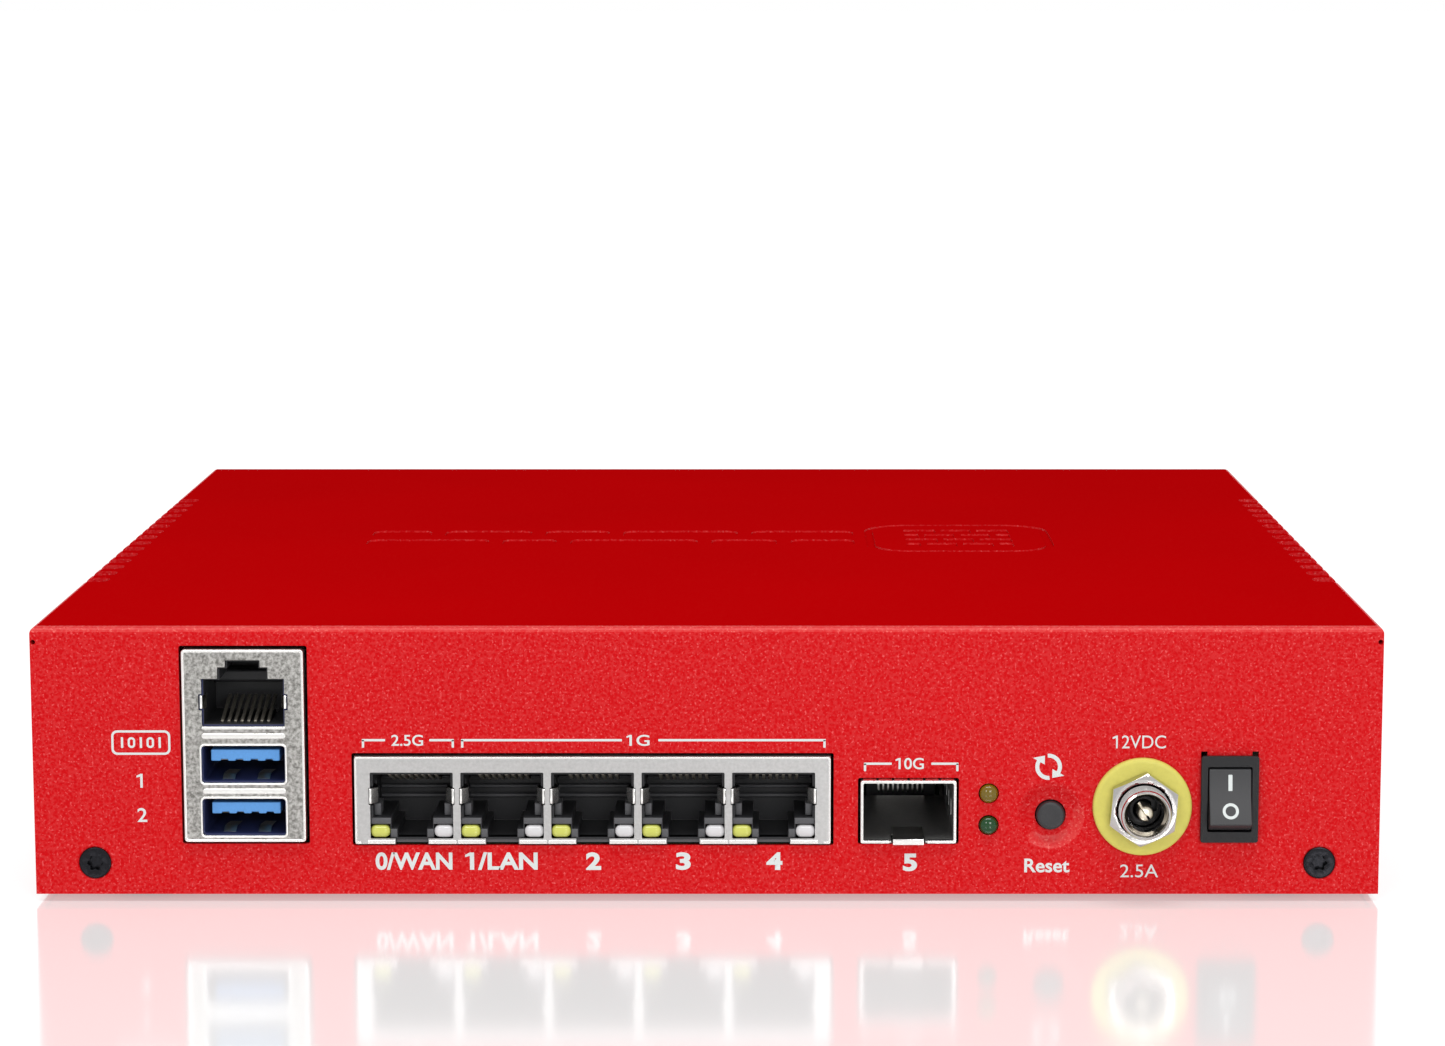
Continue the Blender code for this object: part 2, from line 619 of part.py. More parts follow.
def make_reset(plastic, cap_mat):
    z = up(RESET_Z)
    face = PANEL_Y + SHEET + 1.9
    body = box(RESET_X - 3.3, RESET_X + 3.3, face, face + 4.5, BOARD_TOP + 0.2, z + 3.2)
    bore = [rod(RESET_X, z, 1.75, face - 1, face + 3.6, 20)]
    solid("reset_switch_body", plastic, [body], [], [bore])
    cap_back = face - RESET_TRAVEL - 0.2
    profile = [(0.0, PANEL_Y - 0.45), (RESET_RADIUS - 0.35, PANEL_Y - 0.45), (RESET_RADIUS, PANEL_Y - 0.1),
               (RESET_RADIUS, cap_back), (1.5, cap_back), (1.5, face + 2.4), (0.0, face + 2.4)]
    button = solid("reset_button", cap_mat, [turned(profile, RESET_X, z, 28)], smooth=True)
    hinge_at(button, RESET_X, PANEL_Y, z, "reset_axis")


# Power inlet

def make_inlet(chrome, yellow, plastic, brass):
    z = up(INLET_Z)
    tip = PANEL_Y - INLET_PROUD
    body_front = PANEL_Y + SHEET + FIT_GAP
    body_rear = body_front + 10.5
    barrel = [(INLET_BORE + 0.35, tip), (INLET_THREAD - 0.35, tip), (INLET_THREAD, tip + 0.35),
              (INLET_THREAD, body_front), (5.4, body_front), (5.4, body_rear),
              (2.0, body_rear), (2.0, tip + 12.5), (INLET_BORE, tip + 12.5), (INLET_BORE, tip + 0.35)]
    solid("inlet_barrel", chrome, [turned(barrel, INLET_X, z)], smooth=True)
    washer = [(INLET_THREAD + 0.2, PANEL_Y - 1.0), (7.35, PANEL_Y - 1.0), (7.65, PANEL_Y - 0.7),
              (7.65, PANEL_Y - 0.1), (INLET_THREAD + 0.2, PANEL_Y - 0.1)]
    solid("inlet_washer", yellow, [turned(washer, INLET_X, z, 48)], smooth=True)
    nut = prism(ring_points(INLET_X, z, 5.0 / math.cos(math.pi / 6), 6, math.radians(25)),
                PANEL_Y - 3.6, PANEL_Y - 1.15)
    solid("inlet_nut", chrome, [nut], [],
          [[rod(INLET_X, z, INLET_THREAD + 0.15, PANEL_Y - 5, PANEL_Y)]])
    ring = [(1.4, tip + 4.6), (INLET_BORE - 0.15, tip + 4.6), (INLET_BORE - 0.15, tip + 12.2), (1.4, tip + 12.2)]
    solid("inlet_insulator", plastic, [turned(ring, INLET_X, z, 24)], smooth=True)
    pin = [(0.0, tip + 1.0), (1.0, tip + 1.0), (1.2, tip + 1.3), (1.2, body_rear + 1.5), (0.0, body_rear + 1.5)]
    split = [box(INLET_X - 0.18, INLET_X + 0.18, tip - 1, tip + 4.0, z - 3, z + 3)]
    solid("inlet_pin", brass, [turned(pin, INLET_X, z, 20)], [], [split], True)


# Power switch

def paddle_outline(turn):
    """(y, z) outline about the pivot: round ends, a shallow V in front, flat behind."""
    corner = math.radians(PADDLE_CORNER)
    back = math.radians(114.0)
    steps = 6
    ends = [corner + (back - corner) * i / steps for i in range(steps + 1)]
    top = [(PADDLE_RADIUS * math.cos(a), PADDLE_RADIUS * math.sin(a)) for a in ends]
    low = [(out, -rise) for out, rise in reversed(top)]
    valley = [(PADDLE_RADIUS * math.cos(corner) - 0.45, 0.0)]
    points = []
    for out, rise in top + low + valley:
        turned_out = out * math.cos(turn) - rise * math.sin(turn)
        turned_rise = rise * math.cos(turn) + out * math.sin(turn)
        points.append((PIVOT_Y - turned_out, up(SWITCH_Z) + turned_rise))
    return points


def make_switch(plastic, paddle_mat, brass):
    z = up(SWITCH_Z)
    x = SWITCH_X
    rear = PANEL_Y + 12.5
    bezel = prism(round_rect(x, z, BEZEL_WIDTH, BEZEL_HEIGHT, 0.4, 2), PANEL_Y - 0.9, PANEL_Y - 0.1)
    rounded(bezel, lambda m, d: m.y < PANEL_Y - 0.8, 0.2, 2)
    body = box(x - 3.85, x + 3.85, PANEL_Y - 0.5, rear, z - 6.2, z + 6.2)
    well = [box(x - PADDLE_WIDTH / 2 - 0.15, x + PADDLE_WIDTH / 2 + 0.15, PANEL_Y - 2, PANEL_Y + 5,
                z - PADDLE_RADIUS - 0.15, z + PADDLE_RADIUS + 0.15)]
    bearing = [prism(ring_points(PIVOT_Y, z, 0.95, 16), x - 6, x + 6, "X")]
    solid("switch_housing", plastic, [bezel], [body], [well, bearing])

    paddle = prism(paddle_outline(math.radians(PADDLE_SWING / 2)), x - PADDLE_WIDTH / 2, x + PADDLE_WIDTH / 2, "X")
    pin = prism(ring_points(PIVOT_Y, z, 0.75, 16), x - 3.7, x + 3.7, "X")
    rocker = solid("power_rocker", paddle_mat, [paddle], [pin])
    pivot = hinge_at(rocker, x, PIVOT_Y, z, "rocker_axis")
    for other in bpy.data.objects:
        if other.name.startswith("power_rocker_add"):
            other.data.transform(Matrix.Translation(-pivot.location))
            other.parent = pivot
    for name, rise in (("lower", -3.0), ("upper", 3.0)):
        blade = box(x - 1.6, x + 1.6, rear + 0.2, rear + 6.5, z + rise - 0.3, z + rise + 0.3)
        hole = [upright(x, rear + 4.4, 0.6, z - 6, z + 6, 12)]
        solid(f"switch_terminal_{name}", brass, [blade], [], [hole])


def make_leads(red_wire, black_wire):
    z = up(INLET_Z)
    rear = PANEL_Y + 12.5 + 6.5
    lead("lead_inlet_to_switch", red_wire, [
        (INLET_X, PANEL_Y + 13.7, z), (INLET_X, PANEL_Y + 18, z), (INLET_X + 3, PANEL_Y + 24, z + 2),
        (INLET_X + 8, PANEL_Y + 28, z + 4), (SWITCH_X, PANEL_Y + 25, up(SWITCH_Z) + 3.2),
        (SWITCH_X, rear + 0.3, up(SWITCH_Z) + 3.0)], 0.8)
    lead("lead_switch_to_board", black_wire, [
        (SWITCH_X, rear + 0.3, up(SWITCH_Z) - 3.0), (SWITCH_X, rear + 4, up(SWITCH_Z) - 3.0),
        (SWITCH_X - 2, rear + 10, z - 1), (SWITCH_X - 8, rear + 15, z - 1),
        (SWITCH_X - 12, rear + 17, z - 3), (SWITCH_X - 12.5, rear + 17.5, BOARD_TOP + 0.3)], 0.8)


def build():
    for obj in list(bpy.data.objects):
        bpy.data.objects.remove(obj, do_unlink=True)

    red = material("red_powder_coat", (0.72, 0.008, 0.013), 0.42)
    grey_steel = material("satin_nickel", (0.62, 0.61, 0.60), 0.38, 1.0)
    black_steel = material("black_oxide", (0.02, 0.02, 0.022), 0.45, 0.8)
    chrome = material("nickel_plate", (0.78, 0.77, 0.75), 0.18, 1.0)
    brass = material("brass", (0.70, 0.55, 0.25), 0.35, 1.0)
    gold = material("gold_contact", (0.78, 0.60, 0.28), 0.3, 1.0)
    aluminium = material("aluminium", (0.60, 0.60, 0.61), 0.45, 1.0)
    black = material("black_plastic", (0.018, 0.018, 0.02), 0.45)
    dark_grey = material("dark_grey_plastic", (0.04, 0.04, 0.045), 0.4)
    navy = material("navy_plastic", (0.01, 0.012, 0.03), 0.4)
    blue = material("blue_plastic", (0.12, 0.36, 0.80), 0.4)
    yellow = material("yellow_plastic", (0.68, 0.62, 0.12), 0.45)
    green_board = material("board_laminate", (0.01, 0.10, 0.04), 0.4)
    rubber = material("rubber", (0.03, 0.03, 0.03), 0.8)
    amber_lens = material("amber_lens", (0.24, 0.17, 0.01), 0.2)
    green_lens = material("green_lens", (0.01, 0.08, 0.03), 0.2)
    lime_lens = material("lime_lens", (0.55, 0.60, 0.10), 0.25)
    clear_lens = material("clear_lens", (0.72, 0.70, 0.70), 0.25)
    red_wire = material("red_wire", (0.5, 0.02, 0.02), 0.5)
    black_wire = material("black_wire", (0.02, 0.02, 0.02), 0.5)

    make_cover(red)
    make_base(red)
    make_feet(rubber)
    make_case_screws(black_steel)
    make_board(green_board, brass, grey_steel)
    make_processor(black, aluminium)
    make_console(grey_steel, navy, gold, blue)
    make_lan(grey_steel, black, gold, lime_lens, clear_lens)
    make_cage(grey_steel, black)
    make_status(amber_lens, green_lens, black)
    make_reset(black, dark_grey)
    make_inlet(chrome, yellow, black, brass)
    make_switch(black, dark_grey, brass)
    make_leads(red_wire, black_wire)


build()
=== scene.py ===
import json
import math

import bpy
from mathutils import Matrix, Vector


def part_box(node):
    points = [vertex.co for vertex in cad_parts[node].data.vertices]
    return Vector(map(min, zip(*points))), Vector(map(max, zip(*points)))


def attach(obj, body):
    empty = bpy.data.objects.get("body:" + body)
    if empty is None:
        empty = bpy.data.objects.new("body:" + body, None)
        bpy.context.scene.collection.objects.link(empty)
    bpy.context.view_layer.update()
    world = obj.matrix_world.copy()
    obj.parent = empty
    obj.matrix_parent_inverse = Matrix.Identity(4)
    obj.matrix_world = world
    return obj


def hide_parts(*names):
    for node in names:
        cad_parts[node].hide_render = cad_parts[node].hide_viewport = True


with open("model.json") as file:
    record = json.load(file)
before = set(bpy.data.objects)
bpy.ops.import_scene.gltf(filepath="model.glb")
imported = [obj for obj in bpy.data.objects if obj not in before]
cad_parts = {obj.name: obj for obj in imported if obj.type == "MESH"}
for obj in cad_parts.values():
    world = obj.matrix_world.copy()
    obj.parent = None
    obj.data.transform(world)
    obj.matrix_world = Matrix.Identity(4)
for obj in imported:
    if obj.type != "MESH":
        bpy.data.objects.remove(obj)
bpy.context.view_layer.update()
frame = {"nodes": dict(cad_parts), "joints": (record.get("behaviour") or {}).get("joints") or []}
mm = 0.001

coverLow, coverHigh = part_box("cover")
panelY = coverLow.y
caseFoot = coverLow.z  # lower edge of the port panel
throughPanel = (panelY - 2 * mm, panelY + 3 * mm)  # how far a cutter reaches, before and behind the panel


def up(z):  # a height above the panel's lower edge, in millimetres
    return caseFoot + z * mm


def offsets(a, b, pairs):  # points given in millimetres from the place (a, b)
    return [(a + p * mm, b + q * mm) for p, q in pairs]


def mirrored(right):  # the right half of an outline, then its left half
    return right + [(-a, b) for a, b in reversed(right)]


def middleOf(name):
    low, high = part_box(name)
    return (low.x + high.x) / 2, (low.z + high.z) / 2


def pick(*pieces):
    if bpy.context.mode != "OBJECT":
        bpy.ops.object.mode_set(mode="OBJECT")
    bpy.ops.object.select_all(action="DESELECT")
    for piece in pieces:
        piece.select_set(True)
    if pieces:
        bpy.context.view_layer.objects.active = pieces[0]


def clearChoice(piece, kind):
    pick(piece)
    bpy.ops.object.mode_set(mode="EDIT")
    bpy.ops.mesh.select_mode(type=kind)
    bpy.ops.mesh.select_all(action="DESELECT")
    bpy.ops.object.mode_set(mode="OBJECT")


def chooseFaces(piece, test):
    clearChoice(piece, "FACE")
    for face in piece.data.polygons:
        face.select = bool(test(face.center, face.normal))
    bpy.ops.object.mode_set(mode="EDIT")


def chooseEdges(piece, test):
    clearChoice(piece, "EDGE")
    points = piece.data.vertices
    for edge in piece.data.edges:
        a, b = (points[i].co for i in edge.vertices)
        edge.select = bool(test((a + b) / 2, (b - a).normalized()))
    bpy.ops.object.mode_set(mode="EDIT")


def chooseAll():
    bpy.ops.object.mode_set(mode="EDIT")
    bpy.ops.mesh.select_all(action="SELECT")


def done():
    bpy.ops.object.mode_set(mode="OBJECT")


def openUp(piece, test):  # takes away the faces that the test picks
    chooseFaces(piece, test)
    bpy.ops.mesh.delete(type="FACE")
    done()


def bevelEdges(piece, test, width, segments=4):
    chooseEdges(piece, test)
    bpy.ops.mesh.bevel(offset=width, segments=segments, affect="EDGES", clamp_overlap=False)
    done()
    return piece


def addBox(name, low, high):
    pick()
    bpy.ops.mesh.primitive_cube_add(size=1)
    piece = bpy.context.active_object
    piece.name = name
    piece.scale = [b - a for a, b in zip(low, high)]
    piece.location = [(a + b) / 2 for a, b in zip(low, high)]
    bpy.ops.object.transform_apply(location=True, rotation=True, scale=True)
    return piece


def addBlock(name, start, low, high):  # a box with its corners in millimetres from the start
    return addBox(name, *([a + b * mm for a, b in zip(start, corner)] for corner in (low, high)))


def addOutline(name, points, start, end, axis="Y"):
    places = {"X": lambda a, b, c: (c, a, b), "Y": lambda a, b, c: (a, c, b),
              "Z": lambda a, b, c: (a, b, c)}
    pick()
    bpy.ops.mesh.primitive_circle_add(vertices=len(points), fill_type="NGON")
    piece = bpy.context.active_object
    piece.name = name
    for vert, (a, b) in zip(piece.data.vertices, points):
        vert.co = places[axis](a, b, start)
    chooseAll()
    push = places[axis](0, 0, end - start)
    bpy.ops.mesh.extrude_region_move(TRANSFORM_OT_translate={"value": push})
    bpy.ops.mesh.select_all(action="SELECT")
    bpy.ops.mesh.normals_make_consistent(inside=False)
    done()
    return piece


def addTurned(name, profile, x, z, steps=64, closed=False):  # a profile of radius and y, turned about y
    pick()
    bpy.ops.mesh.primitive_circle_add(vertices=len(profile), fill_type="NOTHING")
    piece = bpy.context.active_object
    piece.name = name
    for vert, (radius, y) in zip(piece.data.vertices, profile):
        vert.co = (x + radius, y, z)
    if not closed:  # the edge that runs back along the axis is taken away
        clearChoice(piece, "EDGE")
        for edge in piece.data.edges:
            edge.select = set(edge.vertices) == {0, len(profile) - 1}
        bpy.ops.object.mode_set(mode="EDIT")
        bpy.ops.mesh.delete(type="EDGE")
        done()
    chooseAll()
    bpy.ops.mesh.spin(steps=steps, angle=2 * math.pi, center=(x, 0, z), axis=(0, 1, 0))
    bpy.ops.mesh.select_all(action="SELECT")
    bpy.ops.mesh.remove_doubles(threshold=1e-7)
    bpy.ops.mesh.normals_make_consistent(inside=False)
    done()
    return piece


def arc(x, z, radius, start, end, steps):
    turns = [math.radians(start + (end - start) * i / steps) for i in range(steps + 1)]
    return [(x + radius * math.cos(a), z + radius * math.sin(a)) for a in turns]


def circle(x, z, radius, steps):
    return arc(x, z, radius, 0, 360, steps)[:-1]


def addRod(name, x, z, radius, y0, y1, sides=32):
    return addOutline(name, circle(x, z, radius, sides), y0, y1)


def roundOver(reach, radius, y, rise, steps):  # the rounded edge of a turned piece
    turns = [math.pi / 2 * i / steps for i in range(1, steps + 1)]
    return [(reach + radius * math.sin(a), y - rise * math.cos(a)) for a in turns]


def roundedRect(x, z, width, height, radius, steps=4):
    points = []
    for k, (sx, sz) in enumerate(((1, 1), (-1, 1), (-1, -1), (1, -1))):
        corner = (x + sx * (width / 2 - radius), z + sz * (height / 2 - radius))
        points += arc(*corner, radius, 90 * k, 90 * k + 90, steps)
    return points


def joinAll(name, pieces):
    pick(*pieces)
    bpy.ops.object.join()
    pieces[0].name = name
    return pieces[0]


def combine(piece, other, operation):
    mod = piece.modifiers.new("combine", "BOOLEAN")
    mod.operation = operation
    mod.solver = "EXACT"
    mod.object = other
    pick(piece)
    bpy.ops.object.modifier_apply(modifier=mod.name)
    bpy.data.objects.remove(other)
    return piece


def cut(piece, *cutters):
    for cutter in cutters:
        combine(piece, cutter, "DIFFERENCE")
    return piece


def addRim(name, points, inner, y0, y1):
    ring = addOutline(name, points, y0, y1)
    return cut(ring, addOutline("rimInner", inner, y0 - mm, y1 + mm))


def addBorder(name, x, z, width, height, shrink, radii, steps, y0, y1):  # a rounded frame
    outer = roundedRect(x, z, width, height, radii[0] * mm, steps)
    inner = roundedRect(x, z, width - shrink, height - shrink, radii[1] * mm, steps)
    return addRim(name, outer, inner, y0, y1)


def thicken(piece, wall):
    mod = piece.modifiers.new("sheet", "SOLIDIFY")
    mod.thickness = wall
    mod.offset = -1
    mod.use_even_offset = True
    pick(piece)
    bpy.ops.object.modifier_apply(modifier=mod.name)


def smooth(piece, angle):
    pick(piece)
    bpy.ops.object.shade_smooth_by_angle(angle=math.radians(angle))


def soften(piece, width, segments=2, angle=35):  # small rounded edges with even shading
    mod = piece.modifiers.new("soften", "BEVEL")
    mod.width = width
    mod.segments = segments
    mod.limit_method = "ANGLE"
    mod.angle_limit = math.radians(angle)
    pick(piece)
    bpy.ops.object.modifier_apply(modifier=mod.name)
    bpy.ops.object.shade_smooth_by_angle(angle=math.radians(angle))
    even = piece.modifiers.new("even", "WEIGHTED_NORMAL")
    even.weight = 100
    even.keep_sharp = True
    bpy.ops.object.modifier_apply(modifier=even.name)
    return piece


def copyOf(piece, name, shift):
    twin = piece.copy()
    twin.data = piece.data.copy()
    twin.name = name
    bpy.context.scene.collection.objects.link(twin)
    twin.data.transform(Matrix.Translation(shift))
    return twin


def finishPiece(piece, material, body="chassis", stands=()):
    piece.data.materials.clear()
    piece.data.materials.append(material)
    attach(piece, body)
    if stands:
        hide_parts(*stands)
    return piece


# materials: shared effects first, then one function for each finish


def newGroup(name, inputs, outputs):
    group = bpy.data.node_groups.new(name, "ShaderNodeTree")
    for label, kind, value in inputs:
        socket = group.interface.new_socket(name=label, in_out="INPUT", socket_type=kind)
        if value is not None:
            socket.default_value = value
    for label in outputs:
        group.interface.new_socket(name=label, in_out="OUTPUT", socket_type="NodeSocketFloat")
    nodes = group.nodes
    return group, nodes.new("NodeGroupInput").outputs, nodes.new("NodeGroupOutput").inputs


def node(tree, kind, links=(), **settings):
    made = tree.nodes.new(kind)
    for key, value in settings.items():
        setattr(made, key, value)
    for socket, source in links:
        target = made.inputs[socket]
        if isinstance(source, bpy.types.NodeSocket):
            tree.links.new(source, target)
        else:
            target.default_value = source
    return made


def maths(tree, operation, first, second):
    return node(tree, "ShaderNodeMath", [(0, first), (1, second)], operation=operation).outputs[0]


def mapped(tree, value, low, high, fromLow=0.0, fromHigh=1.0):
    links = [("Value", value), ("From Min", fromLow), ("From Max", fromHigh), ("To Min", low),
             ("To Max", high)]
    return node(tree, "ShaderNodeMapRange", links).outputs["Result"]


def noise(tree, position, scale, detail, roughness=0.5):
    links = [("Vector", position), ("Scale", scale), ("Detail", detail), ("Roughness", roughness)]
    return node(tree, "ShaderNodeTexNoise", links).outputs["Fac"]


def makePaintTexture():  # orange peel, painted glints (sparse bright specks standing in for the highlights on the peel) and slow clouds of a baked powder coat
    group, given, result = newGroup(
        "paintTexture",
        [("Position", "NodeSocketVector", None), ("Peel Size", "NodeSocketFloat", 0.7),
         ("Peel Depth", "NodeSocketFloat", 0.02), ("Painted Glint Amount", "NodeSocketFloat", 0.5)],
        ["Height", "Painted Glints", "Clouds"])
    position = given["Position"]
    perMetre = maths(group, "DIVIDE", 1000.0, given["Peel Size"])
    peel = noise(group, position, perMetre, 3.0, 0.6)
    finer = maths(group, "MULTIPLY", perMetre, 1.7)
    cells = node(group, "ShaderNodeTexVoronoi", [("Vector", position), ("Scale", finer)],
                 feature="SMOOTH_F1")
    mixed = maths(group, "ADD", peel, cells.outputs["Distance"])
    # painted glints: sparse bright specks that stand in for the highlights the peel catches
    bright = mapped(group, noise(group, position, 2600.0, 1.0), 0.0, 1.0, 0.60, 0.74)
    group.links.new(maths(group, "MULTIPLY", mixed, given["Peel Depth"]), result["Height"])
    group.links.new(maths(group, "MULTIPLY", bright, given["Painted Glint Amount"]), result["Painted Glints"])
    group.links.new(noise(group, position, 22.0, 2.0), result["Clouds"])
    return group


def makeSurfaceGrain():  # fine grain, and a wide unevenness
    group, given, result = newGroup(
        "surfaceGrain",
        [("Position", "NodeSocketVector", None), ("Grain Size", "NodeSocketFloat", 0.3),
         ("Stretch", "NodeSocketVector", (1, 1, 1)), ("Contrast", "NodeSocketFloat", 0.5)],
        ["Grain", "Wide"])
    spread = node(group, "ShaderNodeVectorMath", [(0, given["Position"]), (1, given["Stretch"])],
                  operation="MULTIPLY")
    perMetre = maths(group, "DIVIDE", 1000.0, given["Grain Size"])
    centred = maths(group, "SUBTRACT", noise(group, spread.outputs[0], perMetre, 4.0, 0.65), 0.5)
    scaled = maths(group, "MULTIPLY", centred, given["Contrast"])
    grain = node(group, "ShaderNodeMath", [(0, scaled), (1, 0.5)], operation="ADD", use_clamp=True)
    group.links.new(grain.outputs[0], result["Grain"])
    group.links.new(noise(group, given["Position"], 60.0, 2.0), result["Wide"])
    return group


paintTexture = makePaintTexture()
surfaceGrain = makeSurfaceGrain()


def newMaterial(name, roughness, metallic=0.0, specular=0.5):
    made = bpy.data.materials.new(name)
    made.use_nodes = True
    tree = made.node_tree
    shader = tree.nodes["Principled BSDF"]
    shader.inputs["Roughness"].default_value = roughness
    shader.inputs["Metallic"].default_value = metallic
    shader.inputs["Specular IOR Level"].default_value = specular
    return made, tree, shader, node(tree, "ShaderNodeTexCoord").outputs["Object"]


def blendColours(tree, factor, first, second):
    mix = node(tree, "ShaderNodeMix", [("Factor", factor)], data_type="RGBA")
    for socket, colour in ((mix.inputs[6], first), (mix.inputs[7], second)):
        if isinstance(colour, bpy.types.NodeSocket):
            tree.links.new(colour, socket)
        else:
            socket.default_value = (*colour, 1)
    return mix.outputs[2]


def shades(colour, darker, lighter):
    return [c * darker for c in colour], [min(1, c * lighter) for c in colour]


def addRelief(tree, shader, height, distance):
    bump = node(tree, "ShaderNodeBump", [("Height", height), ("Distance", distance), ("Strength", 1.0)])
    tree.links.new(bump.outputs["Normal"], shader.inputs["Normal"])


def addGrain(tree, place, size, contrast=0.5, stretch=(1, 1, 1)):
    links = [("Position", place), ("Grain Size", size), ("Stretch", stretch), ("Contrast", contrast)]
    return node(tree, "ShaderNodeGroup", links, node_tree=surfaceGrain).outputs


def makePowderCoat(name, colour, glintColour, peel, specular):
    made, tree, shader, place = newMaterial(name, 0.5, specular=specular)
    links = [("Position", place), ("Peel Size", 0.75), ("Peel Depth", 1.0)]
    texture = node(tree, "ShaderNodeGroup", links, node_tree=paintTexture).outputs
    shade = blendColours(tree, texture["Clouds"], *shades(colour, 0.95, 1.05))
    # painted highlight: the peel's raised tops are lightened toward the glint colour
    ridgeHighlightAmount = mapped(tree, texture["Height"], 0, 0.6 * peel, 0.78, 1.1)
    ridgeHighlight = blendColours(tree, ridgeHighlightAmount, shade, [c * 0.86 + f * 0.14 for c, f in zip(colour, glintColour)])
    # painted glints, mixed in over the paint colour
    paintedGlints = maths(tree, "MULTIPLY", texture["Painted Glints"], 0.75 * peel)
    tree.links.new(blendColours(tree, paintedGlints, ridgeHighlight, glintColour), shader.inputs["Base Color"])
    tree.links.new(mapped(tree, texture["Clouds"], 0.36, 0.44), shader.inputs["Roughness"])
    addRelief(tree, shader, texture["Height"], 0.00006 * peel)
    return made


def makeMetal(name, dark, light, roughness, grainSize=0.3, stretch=(1, 1, 1), contrast=1.0,
              relief=0.000004):
    made, tree, shader, place = newMaterial(name, roughness, metallic=1.0)
    grain = addGrain(tree, place, grainSize, contrast, stretch)
    tree.links.new(blendColours(tree, grain["Grain"], dark, light), shader.inputs["Base Color"])
    rough = mapped(tree, grain["Wide"], roughness * 0.85, roughness * 1.15)
    tree.links.new(rough, shader.inputs["Roughness"])
    addRelief(tree, shader, grain["Grain"], relief)
    return made


def makePlastic(name, colour, roughness, grainSize=0.25, relief=0.000006, specular=0.28, lighter=1.25):
    made, tree, shader, place = newMaterial(name, roughness, specular=specular)
    grain = addGrain(tree, place, grainSize, 1.0)
    tone = blendColours(tree, grain["Grain"], *shades(colour, 0.85, lighter))
    tree.links.new(tone, shader.inputs["Base Color"])
    rough = mapped(tree, grain["Wide"], roughness * 0.9, min(1, roughness * 1.1))
    tree.links.new(rough, shader.inputs["Roughness"])
    addRelief(tree, shader, grain["Grain"], relief)
    return made


def makeLens(name, light, dark, roughness):
    made, tree, shader, place = newMaterial(name, roughness, specular=0.4)
    cloud = addGrain(tree, place, 1.4)
    tree.links.new(blendColours(tree, cloud["Grain"], dark, light), shader.inputs["Base Color"])
    return made


redPaint = makePowderCoat("redPaint", (0.51, 0.0006, 0.003), (0.92, 0.20, 0.20), 1.0, 0.08)
# a darker copy of the panel paint, without gloss, that paints the shade on the lid
shadedLidPaint = makePowderCoat("shadedLidPaint", (0.41, 0.0004, 0.0015), (0.55, 0.03, 0.02), 0.2, 0.0)
# a lighter, pinker copy of the panel paint, set glossier, that paints the highlight on the front bend and
# on the dish's up-facing slope
highlightBendPaint = makePowderCoat("highlightBendPaint", (0.53, 0.0006, 0.003), (0.92, 0.30, 0.24), 0.8, 0.34)
lanNickel = makeMetal("lanNickel", (0.36, 0.355, 0.35), (0.48, 0.475, 0.47), 0.42, 0.5, contrast=1.6)
speckledNickel = makeMetal("speckledNickel", (0.145, 0.14, 0.13), (0.46, 0.45, 0.43), 0.38, 0.55,
                           contrast=3.2, relief=0.00001)
# a lighter copy of the shields' nickel: on the rolled edges, rims and lips it paints the highlight they
# catch; the springs, fingers and pins take it too
highlightNickel = makeMetal("highlightNickel", (0.64, 0.63, 0.61), (0.80, 0.79, 0.77), 0.22, 0.4)
chromePlate = makeMetal("chromePlate", (0.40, 0.385, 0.375), (0.56, 0.545, 0.53), 0.12, 0.8,
                        relief=0.000001)
blackOxide = makeMetal("blackOxide", (0.008, 0.008, 0.0095), (0.026, 0.026, 0.03), 0.26, 0.3)
tinnedBrass = makeMetal("tinnedBrass", (0.62, 0.56, 0.44), (0.80, 0.75, 0.64), 0.30, 0.4)
yellowBrass = makeMetal("yellowBrass", (0.58, 0.42, 0.16), (0.74, 0.57, 0.26), 0.34, 0.5)
springBronze = makeMetal("springBronze", (0.30, 0.275, 0.23), (0.46, 0.43, 0.37), 0.5, 0.4)
goldContact = makeMetal("goldContact", (0.50, 0.40, 0.22), (0.78, 0.64, 0.36), 0.30, 0.3)
extrudedAluminium = makeMetal("extrudedAluminium", (0.48, 0.48, 0.49), (0.66, 0.66, 0.68), 0.42, 0.3,
                              (1, 0.04, 1), 1.6)
blackPlastic = makePlastic("blackPlastic", (0.008, 0.008, 0.009), 0.42, specular=0.25)
socketPlastic = makePlastic("socketPlastic", (0.018, 0.018, 0.020), 0.40, relief=0.00001)
greyPlastic = makePlastic("greyPlastic", (0.075, 0.075, 0.08), 0.42)
paddlePlastic = makePlastic("paddlePlastic", (0.020, 0.020, 0.022), 0.42, 0.22, 0.00001, specular=0.35)
navyPlastic = makePlastic("navyPlastic", (0.020, 0.026, 0.085), 0.35)
bluePlastic = makePlastic("bluePlastic", (0.10, 0.30, 0.66), 0.38)
yellowPlastic = makePlastic("yellowPlastic", (0.58, 0.53, 0.11), 0.42, 1.2, lighter=1.1)
footRubber = makePlastic("footRubber", (0.022, 0.022, 0.023), 0.85, 0.5, 0.00003)
laminate = makePlastic("boardLaminate", (0.008, 0.075, 0.035), 0.35, 1.2, 0.000004)
chipResin = makePlastic("chipResin", (0.02, 0.02, 0.021), 0.5, 0.4)
redWire = makePlastic("redWire", (0.45, 0.012, 0.012), 0.42)
blackWire = makePlastic("blackWire", (0.012, 0.012, 0.012), 0.42)
markInk = makePlastic("markInk", (0.62, 0.66, 0.65), 0.55, 0.3, 0.000003, lighter=1.05)
amberLens = makeLens("amberLens", (0.18, 0.12, 0.002), (0.09, 0.06, 0.0006), 0.06)
